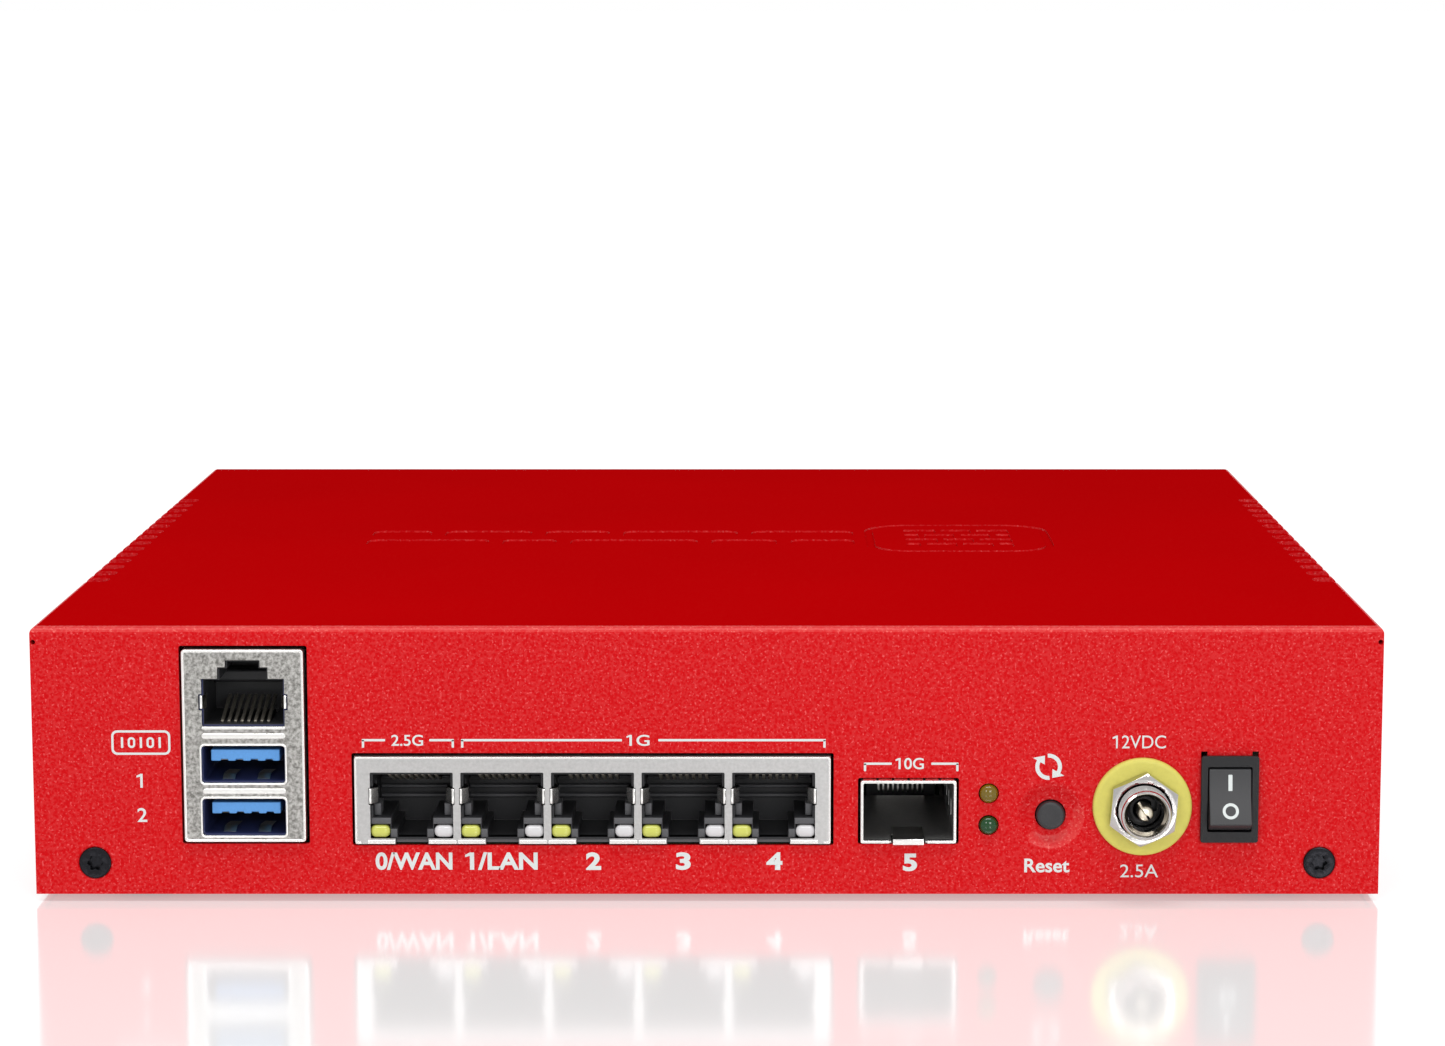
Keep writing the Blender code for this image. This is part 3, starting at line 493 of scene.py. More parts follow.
greenLens = makeLens("greenLens", (0.003, 0.06, 0.010), (0.001, 0.026, 0.004), 0.06)
limeLens = makeLens("limeLens", (0.58, 0.60, 0.15), (0.44, 0.46, 0.06), 0.08)
clearLens = makeLens("clearLens", (0.64, 0.63, 0.64), (0.50, 0.49, 0.50), 0.09)
print("materials made")


# cover: one bent sheet, cut for its sockets, vents and mark

cover = {
    "sheet": 1.0 * mm, "bend": 1.15 * mm, "bendSteps": 10, "edge": 0.09 * mm,
    "seam": 0.24 * mm, "seamTop": coverHigh.z - 2.4 * mm,  # the cut between the panel and each side
    "lightHole": 1.58 * mm, "buttonHole": 2.4 * mm, "inletHole": 4.2 * mm, "screwHole": 1.8 * mm,
}
vents = {"count": 15, "pitch": 6.9 * mm, "width": 4.3 * mm, "first": 46 * mm, "reach": 4.3 * mm,
         "drop": 12 * mm, "round": 1.6 * mm}
mark = {  # sunk in the lid: a badge with courses of bricks, and two rows of bars beside it
    "depth": 0.32 * mm, "x": 43.4 * mm, "y": panelY + 93.5 * mm,
    "size": 33 * mm, "line": 3 * mm, "corner": 8 * mm, "innerCorner": 6.6 * mm,
    "courses": 4, "coursePitch": 5.4 * mm, "joint": 1.1 * mm,
    "bricks": ((-10, -6.4, 0, 6.4, 10), (-10, -3.2, 3.2, 10)),
    "rowPitch": 10.5 * mm, "barHeight": 7.4 * mm, "barCorner": 2.2 * mm,
    "bars": (((-61.5, -40), (-37.5, -28), (-25.5, -3), (-0.5, 11), (13.5, 24.8)),
             ((-61.5, -51), (-48.5, -33), (-30.5, -19), (-16.5, 4), (6.5, 24.8))),
}
dish = {"outer": 5.5 * mm, "inner": 3.2 * mm, "depth": 0.8 * mm, "steps": 8}  # pressed in around the button


def makeSheet():
    piece = addBox("coverSheet", coverLow, coverHigh)
    openUp(piece, lambda middle, normal: normal.z < -0.9 or normal.y > 0.9)

    def isBend(middle, direction):
        return middle.z > coverHigh.z - 1e-5 and middle.y < coverHigh.y - 1e-5

    bevelEdges(piece, isBend, cover["bend"], cover["bendSteps"])
    thicken(piece, cover["sheet"])
    return piece


def socketMouth(name, socket, gapSide, gapLow, gapHigh):
    low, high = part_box(socket)
    width = high.x - low.x + 2 * gapSide * mm
    height = high.z - low.z + (gapLow + gapHigh) * mm
    middle = ((low.x + high.x) / 2, (low.z + high.z + (gapHigh - gapLow) * mm) / 2)
    return addOutline(name, roundedRect(*middle, width, height, 0.3 * mm, 2), *throughPanel)


def switchOpening():  # two small notches stand above its upper corners
    low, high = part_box("switch_housing")
    halfX, halfZ = (high.x - low.x) / 2 / mm, (high.z - low.z) / 2 / mm
    side, top = halfX - 0.45, halfZ - 0.45
    right = [(side, -top), (side, top - 0.4), (halfX, top - 0.4), (halfX, halfZ + 0.6),
             (halfX - 1, halfZ + 0.6), (halfX - 1, top)]
    return addOutline("switchOpening", offsets(*middleOf("switch_housing"), mirrored(right)), *throughPanel)


def makeVentCutters():
    pieces = []
    y = panelY + vents["first"]
    half = vents["width"] / 2
    for side in (-1, 1):
        near, far = sorted((side * (coverHigh.x - vents["reach"]), side * (coverHigh.x + 2 * mm)))
        low = coverHigh.z - vents["drop"]
        slot = addBox("slot", (near, y - half, low), (far, y + half, coverHigh.z + 2 * mm))

        def isEnd(middle, direction):
            inLid = abs(direction.z) > 0.9 and abs(middle.x) < coverHigh.x
            inSide = abs(direction.x) > 0.9 and middle.z < low + 0.1 * mm
            return inLid or inSide

        bevelEdges(slot, isEnd, vents["round"], 5)
        pieces.append(slot)
        pieces += [copyOf(slot, "slot", (0, k * vents["pitch"], 0)) for k in range(1, vents["count"])]
    return joinAll("ventCutters", pieces)


def makeMarkCutters():
    x, y = mark["x"], mark["y"]
    depth = (coverHigh.z - mark["depth"], coverHigh.z + mm)

    def addTile(name, fromX, left, right, y, gap, height, corner, steps):
        middle = fromX + (left + right) / 2 * mm
        tile = roundedRect(middle, y, (right - left) * mm - gap, height, corner, steps)
        return addOutline(name, tile, *depth, "Z")

    ring = addOutline("ring", roundedRect(x, y, mark["size"], mark["size"], mark["corner"], 8), *depth, "Z")
    inside = mark["size"] - mark["line"]
    inner = roundedRect(x, y, inside, inside, mark["innerCorner"], 8)
    cut(ring, addOutline("inner", inner, depth[0] - mm, depth[1] + mm, "Z"))
    pieces = [ring]
    for row in range(mark["courses"]):
        courseY = y + (row - (mark["courses"] - 1) / 2) * mark["coursePitch"]
        splits = mark["bricks"][row % 2]
        height = mark["coursePitch"] - mark["joint"]
        for left, right in zip(splits, splits[1:]):
            pieces.append(addTile("brick", x, left, right, courseY, mark["joint"], height, 0.5 * mm, 3))
    for k, row in enumerate(mark["bars"]):
        rowY = y + (k - 0.5) * mark["rowPitch"]
        for left, right in row:
            pieces.append(addTile("bar", 0, left, right, rowY, 0, mark["barHeight"], mark["barCorner"], 5))
    return joinAll("markCutters", pieces)


def makeDishCutter(x, z):
    outer, inner, depth = dish["outer"], dish["inner"], dish["depth"]
    profile = [(0, panelY - mm), (outer + 0.9 * mm, panelY - mm), (outer + 0.2 * mm, panelY - 0.02 * mm)]
    for i in range(dish["steps"] + 1):
        share = i / dish["steps"]
        ease = share * share * (3 - 2 * share)
        profile.append((outer - share * (outer - inner), panelY + 0.005 * mm + ease * depth))
    profile.append((0, panelY + depth + 0.005 * mm))
    return addTurned("dish", profile, x, z, 96)


def makeSeamCutters():
    corner = panelY + cover["sheet"]
    half = cover["seam"] / 2
    seams = []
    reliefs = []
    for side in (-1, 1):
        near, far = sorted((side * (coverHigh.x - 0.45 * mm), side * (coverHigh.x + mm)))
        seams.append(addBox("seam", (near, corner - half, caseFoot - mm),
                            (far, corner + half, cover["seamTop"])))
    for side in (-1, 1):
        x = side * (coverHigh.x - 0.5 * mm)
        reliefs.append(addRod("relief", x, cover["seamTop"], 0.38 * mm, panelY - mm, panelY + 2.5 * mm, 20))
    return joinAll("seams", seams), joinAll("reliefs", reliefs)


def paintCover(piece, button):  # the lid gets a darker copy of the paint as painted shade; the front bend and the dish's up-facing lower slope get a lighter, glossier copy as painted highlight
    piece.data.materials.append(shadedLidPaint)
    piece.data.materials.append(highlightBendPaint)
    for face in piece.data.polygons:
        middle, normal = face.center, face.normal
        onBend = middle.z > coverHigh.z - cover["bend"] and middle.y < panelY + cover["bend"]
        inDish = (middle - button).length < dish["outer"] + 0.1 * mm and middle.y > panelY + 0.02 * mm
        # painted shade: the lid's up-facing faces take the darker copy
        if middle.z > coverHigh.z - 0.9 * mm and normal.z > 0.99:
            face.material_index = 1
        # painted highlight: the front bend and the dish's up-facing lower slope take the lighter copy
        elif onBend and 0.3 < normal.z < 0.99 or inDish and normal.z - 0.6 * normal.x > 0.1:
            face.material_index = 2


def makeCover():
    piece = makeSheet()
    button = middleOf("reset_button")
    cut(piece, makeDishCutter(*button))
    mouths = [
        socketMouth("consoleMouth", "console_usb_shield", 0.45, 0.45, 0.45),
        socketMouth("lanMouth", "lan_shield", 0.45, 0.35, 0.45),
        socketMouth("cageMouth", "sfp_cage", 0.45, 0.3, 0.35),
        switchOpening(),
        addRod("resetHole", *button, cover["buttonHole"], *throughPanel, 48),
        addRod("inletHole", *middleOf("inlet_washer"), cover["inletHole"], *throughPanel, 32),
    ]
    for name in ("amber", "green"):
        mouths.append(addRod("lightHole", *middleOf(f"status_light_{name}"), cover["lightHole"],
                             *throughPanel, 32))
    for name in ("left", "right"):
        hole = cover["screwHole"]
        profile = offsets(hole, panelY, [(2.1, -1), (0, 0.9), (0, 3)])
        profile = [(0, panelY - mm)] + profile + [(0, panelY + 3 * mm)]
        mouths.append(addTurned("countersink", profile, *middleOf(f"cover_screw_{name}"), 48))
    cut(piece, joinAll("mouths", mouths), makeVentCutters(), makeMarkCutters())
    cut(piece, *makeSeamCutters())
    pick(piece)
    chooseAll()
    bpy.ops.mesh.remove_doubles(threshold=2e-6)
    bpy.ops.mesh.dissolve_limited(angle_limit=math.radians(0.4))
    done()
    soften(piece, cover["edge"], 2, 30)
    piece.name = "caseCover"
    finishPiece(piece, redPaint, stands=["cover"])
    paintCover(piece, Vector((button[0], panelY, button[1])))


makeCover()
print("cover made")


# console and USB block

console = {
    "wall": 0.4 * mm, "corner": 0.55 * mm, "edge": 0.11 * mm,
    "half": 6.35, "stepHalf": 3.85, "slotHalf": 2.65, "levels": (26.6, 34.0, 35.8, 36.9),  # the plug
    "usb": {"lower": 9.4, "upper": 17.7}, "usbWidth": 12.9, "usbHeight": 5.9, "usbShift": -0.1 * mm,
    "ribs": ((25.1, 13.0), (16.45, 12.9)), "contactPitch": 1.02 * mm, "contactWidth": 0.46 * mm,
    "pads": 4, "gripShift": 2.7 * mm,
}


def stepOutline(x, grow=0.0):
    half, step, slot = (console[key] + grow for key in ("half", "stepHalf", "slotHalf"))
    floor, first, second, top = console["levels"]
    right = [(half, floor - grow), (half, first + grow), (step, first + grow), (step, second + grow),
             (slot, second + grow), (slot, top + grow)]
    return offsets(x, caseFoot, mirrored(right))


def usbPlace(x, usbLow):
    return x + console["usbShift"], up(usbLow + console["usbHeight"] / 2)


def usbOutline(x, usbLow, grow, radius, steps):
    width, height = (console[key] + grow for key in ("usbWidth", "usbHeight"))
    return roundedRect(*usbPlace(x, usbLow), width * mm, height * mm, radius * mm, steps)


def makeConsoleShield():
    low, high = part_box("console_usb_shield")
    x = middleOf("console_usb_shield")[0]
    front = low.y
    piece = addBox("consoleShield", low, high)
    openUp(piece, lambda middle, normal: normal.y > 0.9)
    bevelEdges(piece, lambda middle, way: middle.y < high.y - mm, console["corner"], 5)
    thicken(piece, console["wall"])
    cut(piece, addOutline("mouth", stepOutline(x), front - mm, front + 2 * mm))
    for usbLow in console["usb"].values():
        cut(piece, addOutline("usbMouth", usbOutline(x, usbLow, 0, 0.55, 4), front - mm, front + 2 * mm))
    slots = []
    for side in (-1, 1):
        edge = side * console["half"]
        slots.append(addBlock("slot", (x, front, caseFoot), (edge - 0.5, -1, 29.1), (edge + 0.5, 2, 31.6)))
    cut(piece, joinAll("springSlots", slots))
    soften(piece, console["edge"], 2)
    piece.name = "consoleUsbShield"
    finishPiece(piece, speckledNickel, stands=["console_usb_shield"])


def makeConsoleTrim():  # the rolled edges, ribs and side springs of the shield, in a lighter nickel that paints the highlight they catch
    low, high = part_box("console_usb_shield")
    x, z = middleOf("console_usb_shield")
    front = low.y
    width, height = high.x - low.x - 0.04 * mm, high.z - low.z - 0.04 * mm
    border = addBorder("border", x, z, width, height, 0.91 * mm, (0.5, 0.3), 5, front - 0.12 * mm,
                       front + 0.5 * mm)
    pieces = [soften(border, 0.16 * mm, 4)]
    for usbLow in console["usb"].values():
        width, height = (console[key] * mm + 0.6 * mm for key in ("usbWidth", "usbHeight"))
        ring = addBorder("usbRim", *usbPlace(x, usbLow), width, height, 0.7 * mm, (0.7, 0.5), 5,
                         front - 0.22 * mm, front + 1.2 * mm)
        pieces.append(soften(ring, 0.14 * mm, 3))
    for z, width in console["ribs"]:
        bar = roundedRect(x, up(z), width * mm, 0.85 * mm, 0.4 * mm, 4)
        pieces.append(soften(addOutline("rib", bar, front - 0.2 * mm, front + 0.2 * mm), 0.16 * mm, 3))
    bar = roundedRect(x, up(26.35), 12.9 * mm, 0.42 * mm, 0.2 * mm, 4)
    pieces.append(soften(addOutline("lip", bar, front - 0.2 * mm, front + 1.5 * mm), 0.1 * mm, 3))
    bow = ((0.05, 0.1), (0.55, 1.0), (0.55, 2.4), (-0.1, 4.5), (-0.4, 4.5), (0.25, 2.4), (0.25, 1.0),
           (-0.3, 0.1))
    for side in (-1, 1):
        path = offsets(x + side * console["half"] * mm, front, [(-side * a, b) for a, b in bow])
        pieces.append(soften(addOutline("spring", path, up(29.3), up(31.4), "Z"), 0.08 * mm, 2))
    finishPiece(joinAll("consoleUsbTrim", pieces), highlightNickel)


def makeConsoleHousing():
    low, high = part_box("console_usb_housing")
    x = middleOf("console_usb_shield")[0]
    front = low.y
    start = (x, front, caseFoot)
    piece = addBox("consoleUsbHousing", low, high)
    cut(piece, addOutline("plugSpace", stepOutline(x, -0.25), front - mm, front + 12.9 * mm))
    for usbLow in console["usb"].values():
        cut(piece, addOutline("usbSpace", usbOutline(x, usbLow, -0.4, 0.4, 3), front - mm,
                              front + 15.4 * mm))
    grooves = []
    for k in range(8):
        middle = (k - 3.5) * console["contactPitch"] / mm
        grooves.append(addBlock("groove", start, (middle - 0.3, 1.5, 26.2), (middle + 0.3, 12.5, 26.9)))
    cut(piece, joinAll("grooves", grooves))
    soften(piece, 0.08 * mm, 2)
    shelf = addBlock("shelf", start, (-5.9, 9.5, 31.6), (5.9, 12.95, 33.7))
    bevelEdges(shelf, lambda middle, way: middle.y < front + 9.6 * mm, 0.5 * mm, 4)
    joinAll("consoleUsbHousing", [piece, shelf])
    finishPiece(piece, socketPlastic, stands=["console_usb_housing"])
    piece.data.materials.append(navyPlastic)  # the lower part, around the USB sockets
    for face in piece.data.polygons:
        if face.center.z < up(25):
            face.material_index = 1


def makeSpringContacts(name, x, z, front, depth, rise, stand):  # eight bent wires in a row
    pitch, half = console["contactPitch"], console["contactWidth"] / 2
    first = x - 3.5 * pitch
    profile = [(front, z), (front + 0.5 * mm, z + 0.05 * rise), (front + depth * 0.9, z + 2.3 * rise),
               (front + depth, z + 2.3 * rise), (front + depth, z + 2.75 * rise),
               (front + depth * 0.88, z + 2.75 * rise), (front + 0.4 * mm, z + 0.5 * rise),
               (front - 0.1 * mm, z + 0.25 * rise)]
    master = soften(addOutline("contact", profile, first - half, first + half, "X"), 0.06 * mm, 2)
    pieces = [master] + [copyOf(master, "contact", (k * pitch, 0, 0)) for k in range(1, 8)]
    finishPiece(joinAll(name, pieces), springBronze, stands=[stand])


def makeUsbTongues():
    bow = ((0.4, 0), (1.6, 0.6), (3.0, 0.6), (8, 0), (8, -0.02), (3.0, 0.4), (1.7, 0.4), (0.5, -0.1))
    for name, usbLow in console["usb"].items():
        low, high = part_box(f"usb_tongue_{name}")
        piece = addBox(f"usbTongue.{name}", low, high)
        notches = [addBlock("notch", low, (1.5 + 2.3 * k, -1, -1), (2.6 + 2.3 * k, 1.0, 0.32))
                   for k in range(console["pads"])]
        cut(piece, joinAll("notches", notches))
        soften(piece, 0.22 * mm, 3)
        finishPiece(piece, bluePlastic, stands=[f"usb_tongue_{name}"])
        length = (high.y - low.y) / mm
        pads = [addBlock("pad", low, (1.3 + 2.6 * k, 1.6, -0.14), (2.4 + 2.6 * k, length - 0.5, 0.05))
                for k in range(console["pads"])]
        finishPiece(soften(joinAll(f"usbPads.{name}", pads), 0.05 * mm), goldContact)
        path = offsets(low.y, up(usbLow) + 0.22 * mm, bow)
        grips = []
        for side in (-1, 1):
            x = (low.x + high.x) / 2 + side * console["gripShift"]
            grips.append(addOutline("grip", path, x - 0.95 * mm, x + 0.95 * mm, "X"))
        finishPiece(soften(joinAll(f"usbGrips.{name}", grips), 0.06 * mm), tinnedBrass)


makeConsoleShield()
makeConsoleTrim()
makeConsoleHousing()
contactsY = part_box("console_contacts")[0].y - 0.8 * mm
makeSpringContacts("consoleContacts", middleOf("console_usb_shield")[0], up(26.75), contactsY, 9.2 * mm, mm,
                   "console_contacts")
makeUsbTongues()
print("console and USB block made")


# network sockets: one socket's parts are modelled at the first place and copied

lan = {
    "firstX": -45.6 * mm, "pitch": 13.97 * mm, "count": 5, "wall": 0.4 * mm, "edge": 0.1 * mm,
    "mouthWidth": 12.8 * mm, "mouthLow": 8.9, "mouthHigh": 19.3,
    "plug": [(2.25, 8.95), (2.25, 10.35), (3.2, 10.35), (3.2, 12.1), (6.0, 12.1), (6.0, 18.9)],
    "guides": (((3.25, 6.38), (11.05, 12.05), -0.1, 3.0), ((2.3, 3.35), (8.95, 10.3), -0.1, 3.4),
               ((4.9, 6.0), (12.15, 14.1), 1.2, 5.0)),
    "ribs": (12.9, 14.3, 15.7), "light": (3.05 * mm, 1.95 * mm, 0.9 * mm),
    "lightSide": 4.93 * mm, "lightUp": 9.93,
}
lanStart = (lan["firstX"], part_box("lan_shield")[0].y, caseFoot)


def cutSockets(piece, *cutters):  # each cutter at every socket's place
    for k in reversed(range(lan["count"])):
        for cutter in cutters:
            combine(piece, copyOf(cutter, "cutter", (k * lan["pitch"], 0, 0)), "DIFFERENCE")
    for cutter in cutters:
        bpy.data.objects.remove(cutter)


def repeatSocket(master, name):  # the first socket's piece, and a copy of it for each other socket
    others = range(1, lan["count"])
    return [master] + [copyOf(master, f"{name}.{k}", (k * lan["pitch"], 0, 0)) for k in others]


def makeLanShield():
    low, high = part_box("lan_shield")
    front = low.y
    piece = addBox("lanShield", low, high)
    openUp(piece, lambda middle, normal: normal.y > 0.9)

    def isRounded(middle, way):
        return middle.y < front + mm and (middle.z > high.z - mm or abs(way.z) > 0.9)

    bevelEdges(piece, isRounded, 0.4 * mm, 5)
    thicken(piece, lan["wall"])
    height = (lan["mouthHigh"] - lan["mouthLow"]) * mm
    middle = up((lan["mouthLow"] + lan["mouthHigh"]) / 2)
    outline = roundedRect(lan["firstX"], middle, lan["mouthWidth"], height, 0.18 * mm, 3)
    below = (low.z - caseFoot) / mm - 1
    cutSockets(piece, addOutline("mouth", outline, front - mm, front + 2 * mm),
               addBlock("side", lanStart, (-6.62, -1, 14.2), (6.62, 2, 16.9)),
               addBlock("lipGap", lanStart, (-2.55, -1, below), (2.55, 3.5, 9.5)))
    soften(piece, lan["edge"], 2)
    piece.name = "lanSocketShield"
    finishPiece(piece, lanNickel, stands=["lan_shield"])


def makeLanTrim():  # the edge around the shield and the lips below each socket, in a lighter nickel that paints their highlight
    low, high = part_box("lan_shield")
    front = low.y
    width, height = high.x - low.x - 0.04 * mm, high.z - low.z - 0.04 * mm
    ring = addBorder("border", *middleOf("lan_shield"), width, height, 0.71 * mm, (0.4, 0.25), 5,
                     front - 0.1 * mm, front + 0.5 * mm)
    cut(ring, addBox("under", (low.x + mm, front - mm, low.z - mm), (high.x - mm, front + mm, low.z + mm)))
    pieces = [soften(ring, 0.13 * mm, 3)]
    for k in range(lan["count"]):
        start = (lan["firstX"] + k * lan["pitch"], front, low.z)
        for left, right in ((-6.9, -2.6), (2.6, 6.9)):
            lip = addBlock("lip", start, (left, -0.1, 0.02), (right, 0.8, 0.62))
            pieces.append(soften(lip, 0.12 * mm, 3))
    finishPiece(joinAll("lanShieldTrim", pieces), highlightNickel)


def makeLanSprings():
    front = lanStart[1]
    bow = ((-0.15, 0.05), (0.15, 0.05), (1.15, 1.3), (1.15, 2.6), (0, 5.5), (-0.2, 5.5), (0.9, 2.5),
           (0.9, 1.4))
    pieces = []
    for side in (-1, 1):
        path = offsets(lan["firstX"] + side * 6.4 * mm, front, [(-side * a, b) for a, b in bow])
        pieces.append(soften(addOutline("spring", path, up(14.35), up(16.75), "Z"), 0.08 * mm, 2))
    for piece in repeatSocket(joinAll("lanSprings.0", pieces), "lanSprings"):
        finishPiece(piece, highlightNickel)


def makeLanHousing():
    low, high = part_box("lan_housing")
    start = (lan["firstX"], low.y, caseFoot)
    piece = addBox("lanHousing", low, high)
    outline = offsets(lan["firstX"], caseFoot, mirrored(lan["plug"]))
    cutSockets(piece, addOutline("plugSpace", outline, low.y - mm, low.y + 12.4 * mm),
               addBlock("pocket", start, (-6.55, -1, 8.0), (-3.4, 6, 11.05)),
               addBlock("pocket", start, (3.4, -1, 8.0), (6.55, 6, 11.05)),
               addBlock("springRoom", start, (-6.7, -1, 14.0), (6.7, 6, 17.0)))
    soften(piece, 0.07 * mm, 2)
    piece.name = "lanSocketHousing"
    finishPiece(piece, socketPlastic, stands=["lan_housing"])


def makeLanInsert():  # the grey guides, sill and back ribs inside a socket
    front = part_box("lan_housing")[0].y
    start = (lan["firstX"], front, caseFoot)
    pieces = []

    def addGuide(name, low, high, width, segments, reach=0.1, floor=0.0):
        block = addBlock(name, start, low, high)

        def isFront(middle, way):
            return middle.y < front + (low[1] + reach) * mm and middle.z > up(floor)

        pieces.append(bevelEdges(block, isFront, width, segments))

    for side in (-1, 1):
        for (a, b), (c, d), y0, y1 in lan["guides"]:
            left, right = sorted((side * a, side * b))
            addGuide("guide", (left, y0, c), (right, y1, d), 0.18 * mm, 3, 0.2)
    sillLow = (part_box("lan_shield")[0].z - caseFoot) / mm + 0.1
    addGuide("sill", (-2.5, 0.3, sillLow), (2.5, 1.8, 8.95), 0.25 * mm, 3, floor=8.9)
    for k, z in enumerate(lan["ribs"]):
        addGuide("rib", (-5.9, 11.2 + 0.4 * k, z), (5.9, 12.5, z + 0.5), 0.15 * mm, 2)
    master = joinAll("lanInsert.0", pieces)
    smooth(master, 35)
    for piece in repeatSocket(master, "lanInsert"):
        finishPiece(piece, greyPlastic)


def makeLinkLights():
    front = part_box("link_light_0_left")[0].y
    for name, side, glass, slot in (("left", -1, limeLens, "lime_lens"),
                                    ("right", 1, clearLens, "clear_lens")):
        outline = roundedRect(lan["firstX"] + side * lan["lightSide"], up(lan["lightUp"]), *lan["light"], 6)
        master = addOutline(f"linkLight.{name}.0", outline, front, front + 5 * mm)
        bevelEdges(master, lambda middle, way: middle.y < front + 1e-6, 0.85 * mm, 8)
        smooth(master, 50)
        for k, piece in enumerate(repeatSocket(master, f"linkLight.{name}")):
            finishPiece(piece, glass, stands=[f"link_light_{k}_{name}"])


makeLanShield()
makeLanTrim()
makeLanSprings()
makeLanHousing()
makeLanInsert()
makeLinkLights()
for k in range(lan["count"]):
    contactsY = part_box(f"lan_contacts_{k}")[0].y - mm
    makeSpringContacts(f"lanContacts.{k}", lan["firstX"] + k * lan["pitch"], up(18.85), contactsY,
                       9.0 * mm, -mm, f"lan_contacts_{k}")
print("network sockets made")


# cage for the 10G port

cage = {
    "wall": 0.35 * mm, "edge": 0.12 * mm, "fingers": 6, "fingerPitch": 2.4 * mm, "fingerHalf": 1.02 * mm,
    "slots": 4, "pins": 10, "pinPitch": 0.8, "pinRows": ((4.15, 6.45), (0.55, 2.85)),
}


def makeCage():
    low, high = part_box("sfp_cage")
    x = middleOf("sfp_cage")[0]
    front, wall = low.y, cage["wall"]
    start = (x, front, low.z)
    piece = addBox("cage", low, high)
    space = addBox("space", (low.x + wall, front - mm, low.z + wall),
                   (high.x - wall, high.y - wall, high.z - wall))
    cut(piece, space, addBlock("under", (x, high.y, low.z), (-6.4, -14, -2), (6.4, -1.5, 2)),
        addBlock("notch", start, (-2.6, -1, -1), (2.6, 5, 0.6)))
    slots = []
    for side in (-1, 1):
        middle = side * 7.35
        for k in range(cage["slots"]):
            slots.append(addBlock("slot", start, (middle - 1, 8 + 7 * k, 2), (middle + 1, 11 + 7 * k, 5)))
    cut(piece, joinAll("slots", slots))
    soften(piece, cage["edge"], 3)
    piece.name = "sfpCage"
    finishPiece(piece, lanNickel, stands=["sfp_cage"])


def makeCageRim():  # the edge, the latch below and the spring fingers above, in a lighter nickel that paints their highlight
    low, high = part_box("sfp_cage")
    x, z = middleOf("sfp_cage")
    front = low.y
    width, height = high.x - low.x + 0.1 * mm, high.z - low.z + 0.1 * mm
    rim = addBorder("rim", x, z, width, height, 2 * cage["wall"] + 0.2 * mm, (0.35, 0.2), 4,
                    front - 0.12 * mm, front + 1.0 * mm)
    cut(rim, addBlock("gap", (x, front, low.z), (-2.9, -1, -1), (2.9, 2, 0.8)))
    bow = ((-0.25, -0.25), (-0.25, 0.65), (1.0, 1.0), (7, 1.1), (7, 0.8), (1.2, 0.7), (0.2, -0.25))
    latch = offsets(front, low.z, bow)
    pieces = [soften(rim, 0.1 * mm, 3),
              soften(addOutline("latch", latch, x - 2.4 * mm, x + 2.4 * mm, "X"), 0.08 * mm, 2)]
    arch = ((0.1, 0.02), (1.3, 0.42), (2.2, 0.42), (5, 0.02), (5, -0.1), (0.1, -0.1))
    path = offsets(front, high.z, arch)
    for k in range(cage["fingers"]):
        middle = x + (k - (cage["fingers"] - 1) / 2) * cage["fingerPitch"]
        finger = addOutline("finger", path, middle - cage["fingerHalf"], middle + cage["fingerHalf"], "X")
        pieces.append(soften(finger, 0.06 * mm, 2))
    finishPiece(joinAll("sfpCageRim", pieces), highlightNickel)


def makeCageConnector():
    x = middleOf("sfp_cage")[0]
    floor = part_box("sfp_cage")[0].z
    low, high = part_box("sfp_host_connector")
    start = (x, low.y, floor)
    host = addBox("sfpHost", low, high)
    depth = (high.y - low.y) / mm - 2
    cut(host, addBlock("slot", start, (-4.8, -1, 2.9), (4.8, depth, 4.1)))
    soften(host, 0.15 * mm, 2)
    finishPiece(host, socketPlastic, stands=["sfp_host_connector"])
    pins = []
    for bottom, top in cage["pinRows"]:
        for k in range(cage["pins"]):
            middle = (k - (cage["pins"] - 1) / 2) * cage["pinPitch"]
            pins.append(addBlock("pin", start, (middle - 0.17, -0.12, bottom), (middle + 0.17, 0.1, top)))
    finishPiece(soften(joinAll("sfpHostPins", pins), 0.03 * mm), highlightNickel)


makeCage()
makeCageRim()
makeCageConnector()
print("cage made")


# status lights, reset button

statusLight = {"radius": 1.42 * mm, "dome": 0.95 * mm, "base": 0.15 * mm, "back": 1.7 * mm}
resetCap = {"radius": 2.2 * mm, "edge": 0.45 * mm, "stem": 1.5 * mm, "depth": 2.4 * mm}


def makeStatusLights():
    for name, glass in (("amber", amberLens), ("green", greenLens)):
        radius, dome = statusLight["radius"], statusLight["dome"]
        base, back = panelY - statusLight["base"], panelY + statusLight["back"]
        profile = [(0, base - dome)] + roundOver(0, radius, base, dome, 10) + [(radius, back), (0, back)]
        piece = addTurned(f"statusLight.{name}", profile, *middleOf(f"status_light_{name}"), 48)
        smooth(piece, 40)
        finishPiece(piece, glass, stands=[f"status_light_{name}"])


def makeResetButton():
    low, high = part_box("reset_button")
    radius, edge, stem = resetCap["radius"], resetCap["edge"], resetCap["stem"]
    face, cap = low.y, low.y + resetCap["depth"]
    profile = [(0, face + 0.05 * mm), (radius * 0.5, face + 0.03 * mm), (radius - 0.6 * mm, face)]
    profile += roundOver(radius - edge, edge, face + edge, edge, 6)
    profile += [(radius, cap), (stem, cap), (stem, high.y), (0, high.y)]
    piece = addTurned("resetButton", profile, *middleOf("reset_button"), 64)
    smooth(piece, 40)
    finishPiece(piece, paddlePlastic, "reset", ["reset_button"])


makeStatusLights()
makeResetButton()
print("lights and button made")


# power inlet

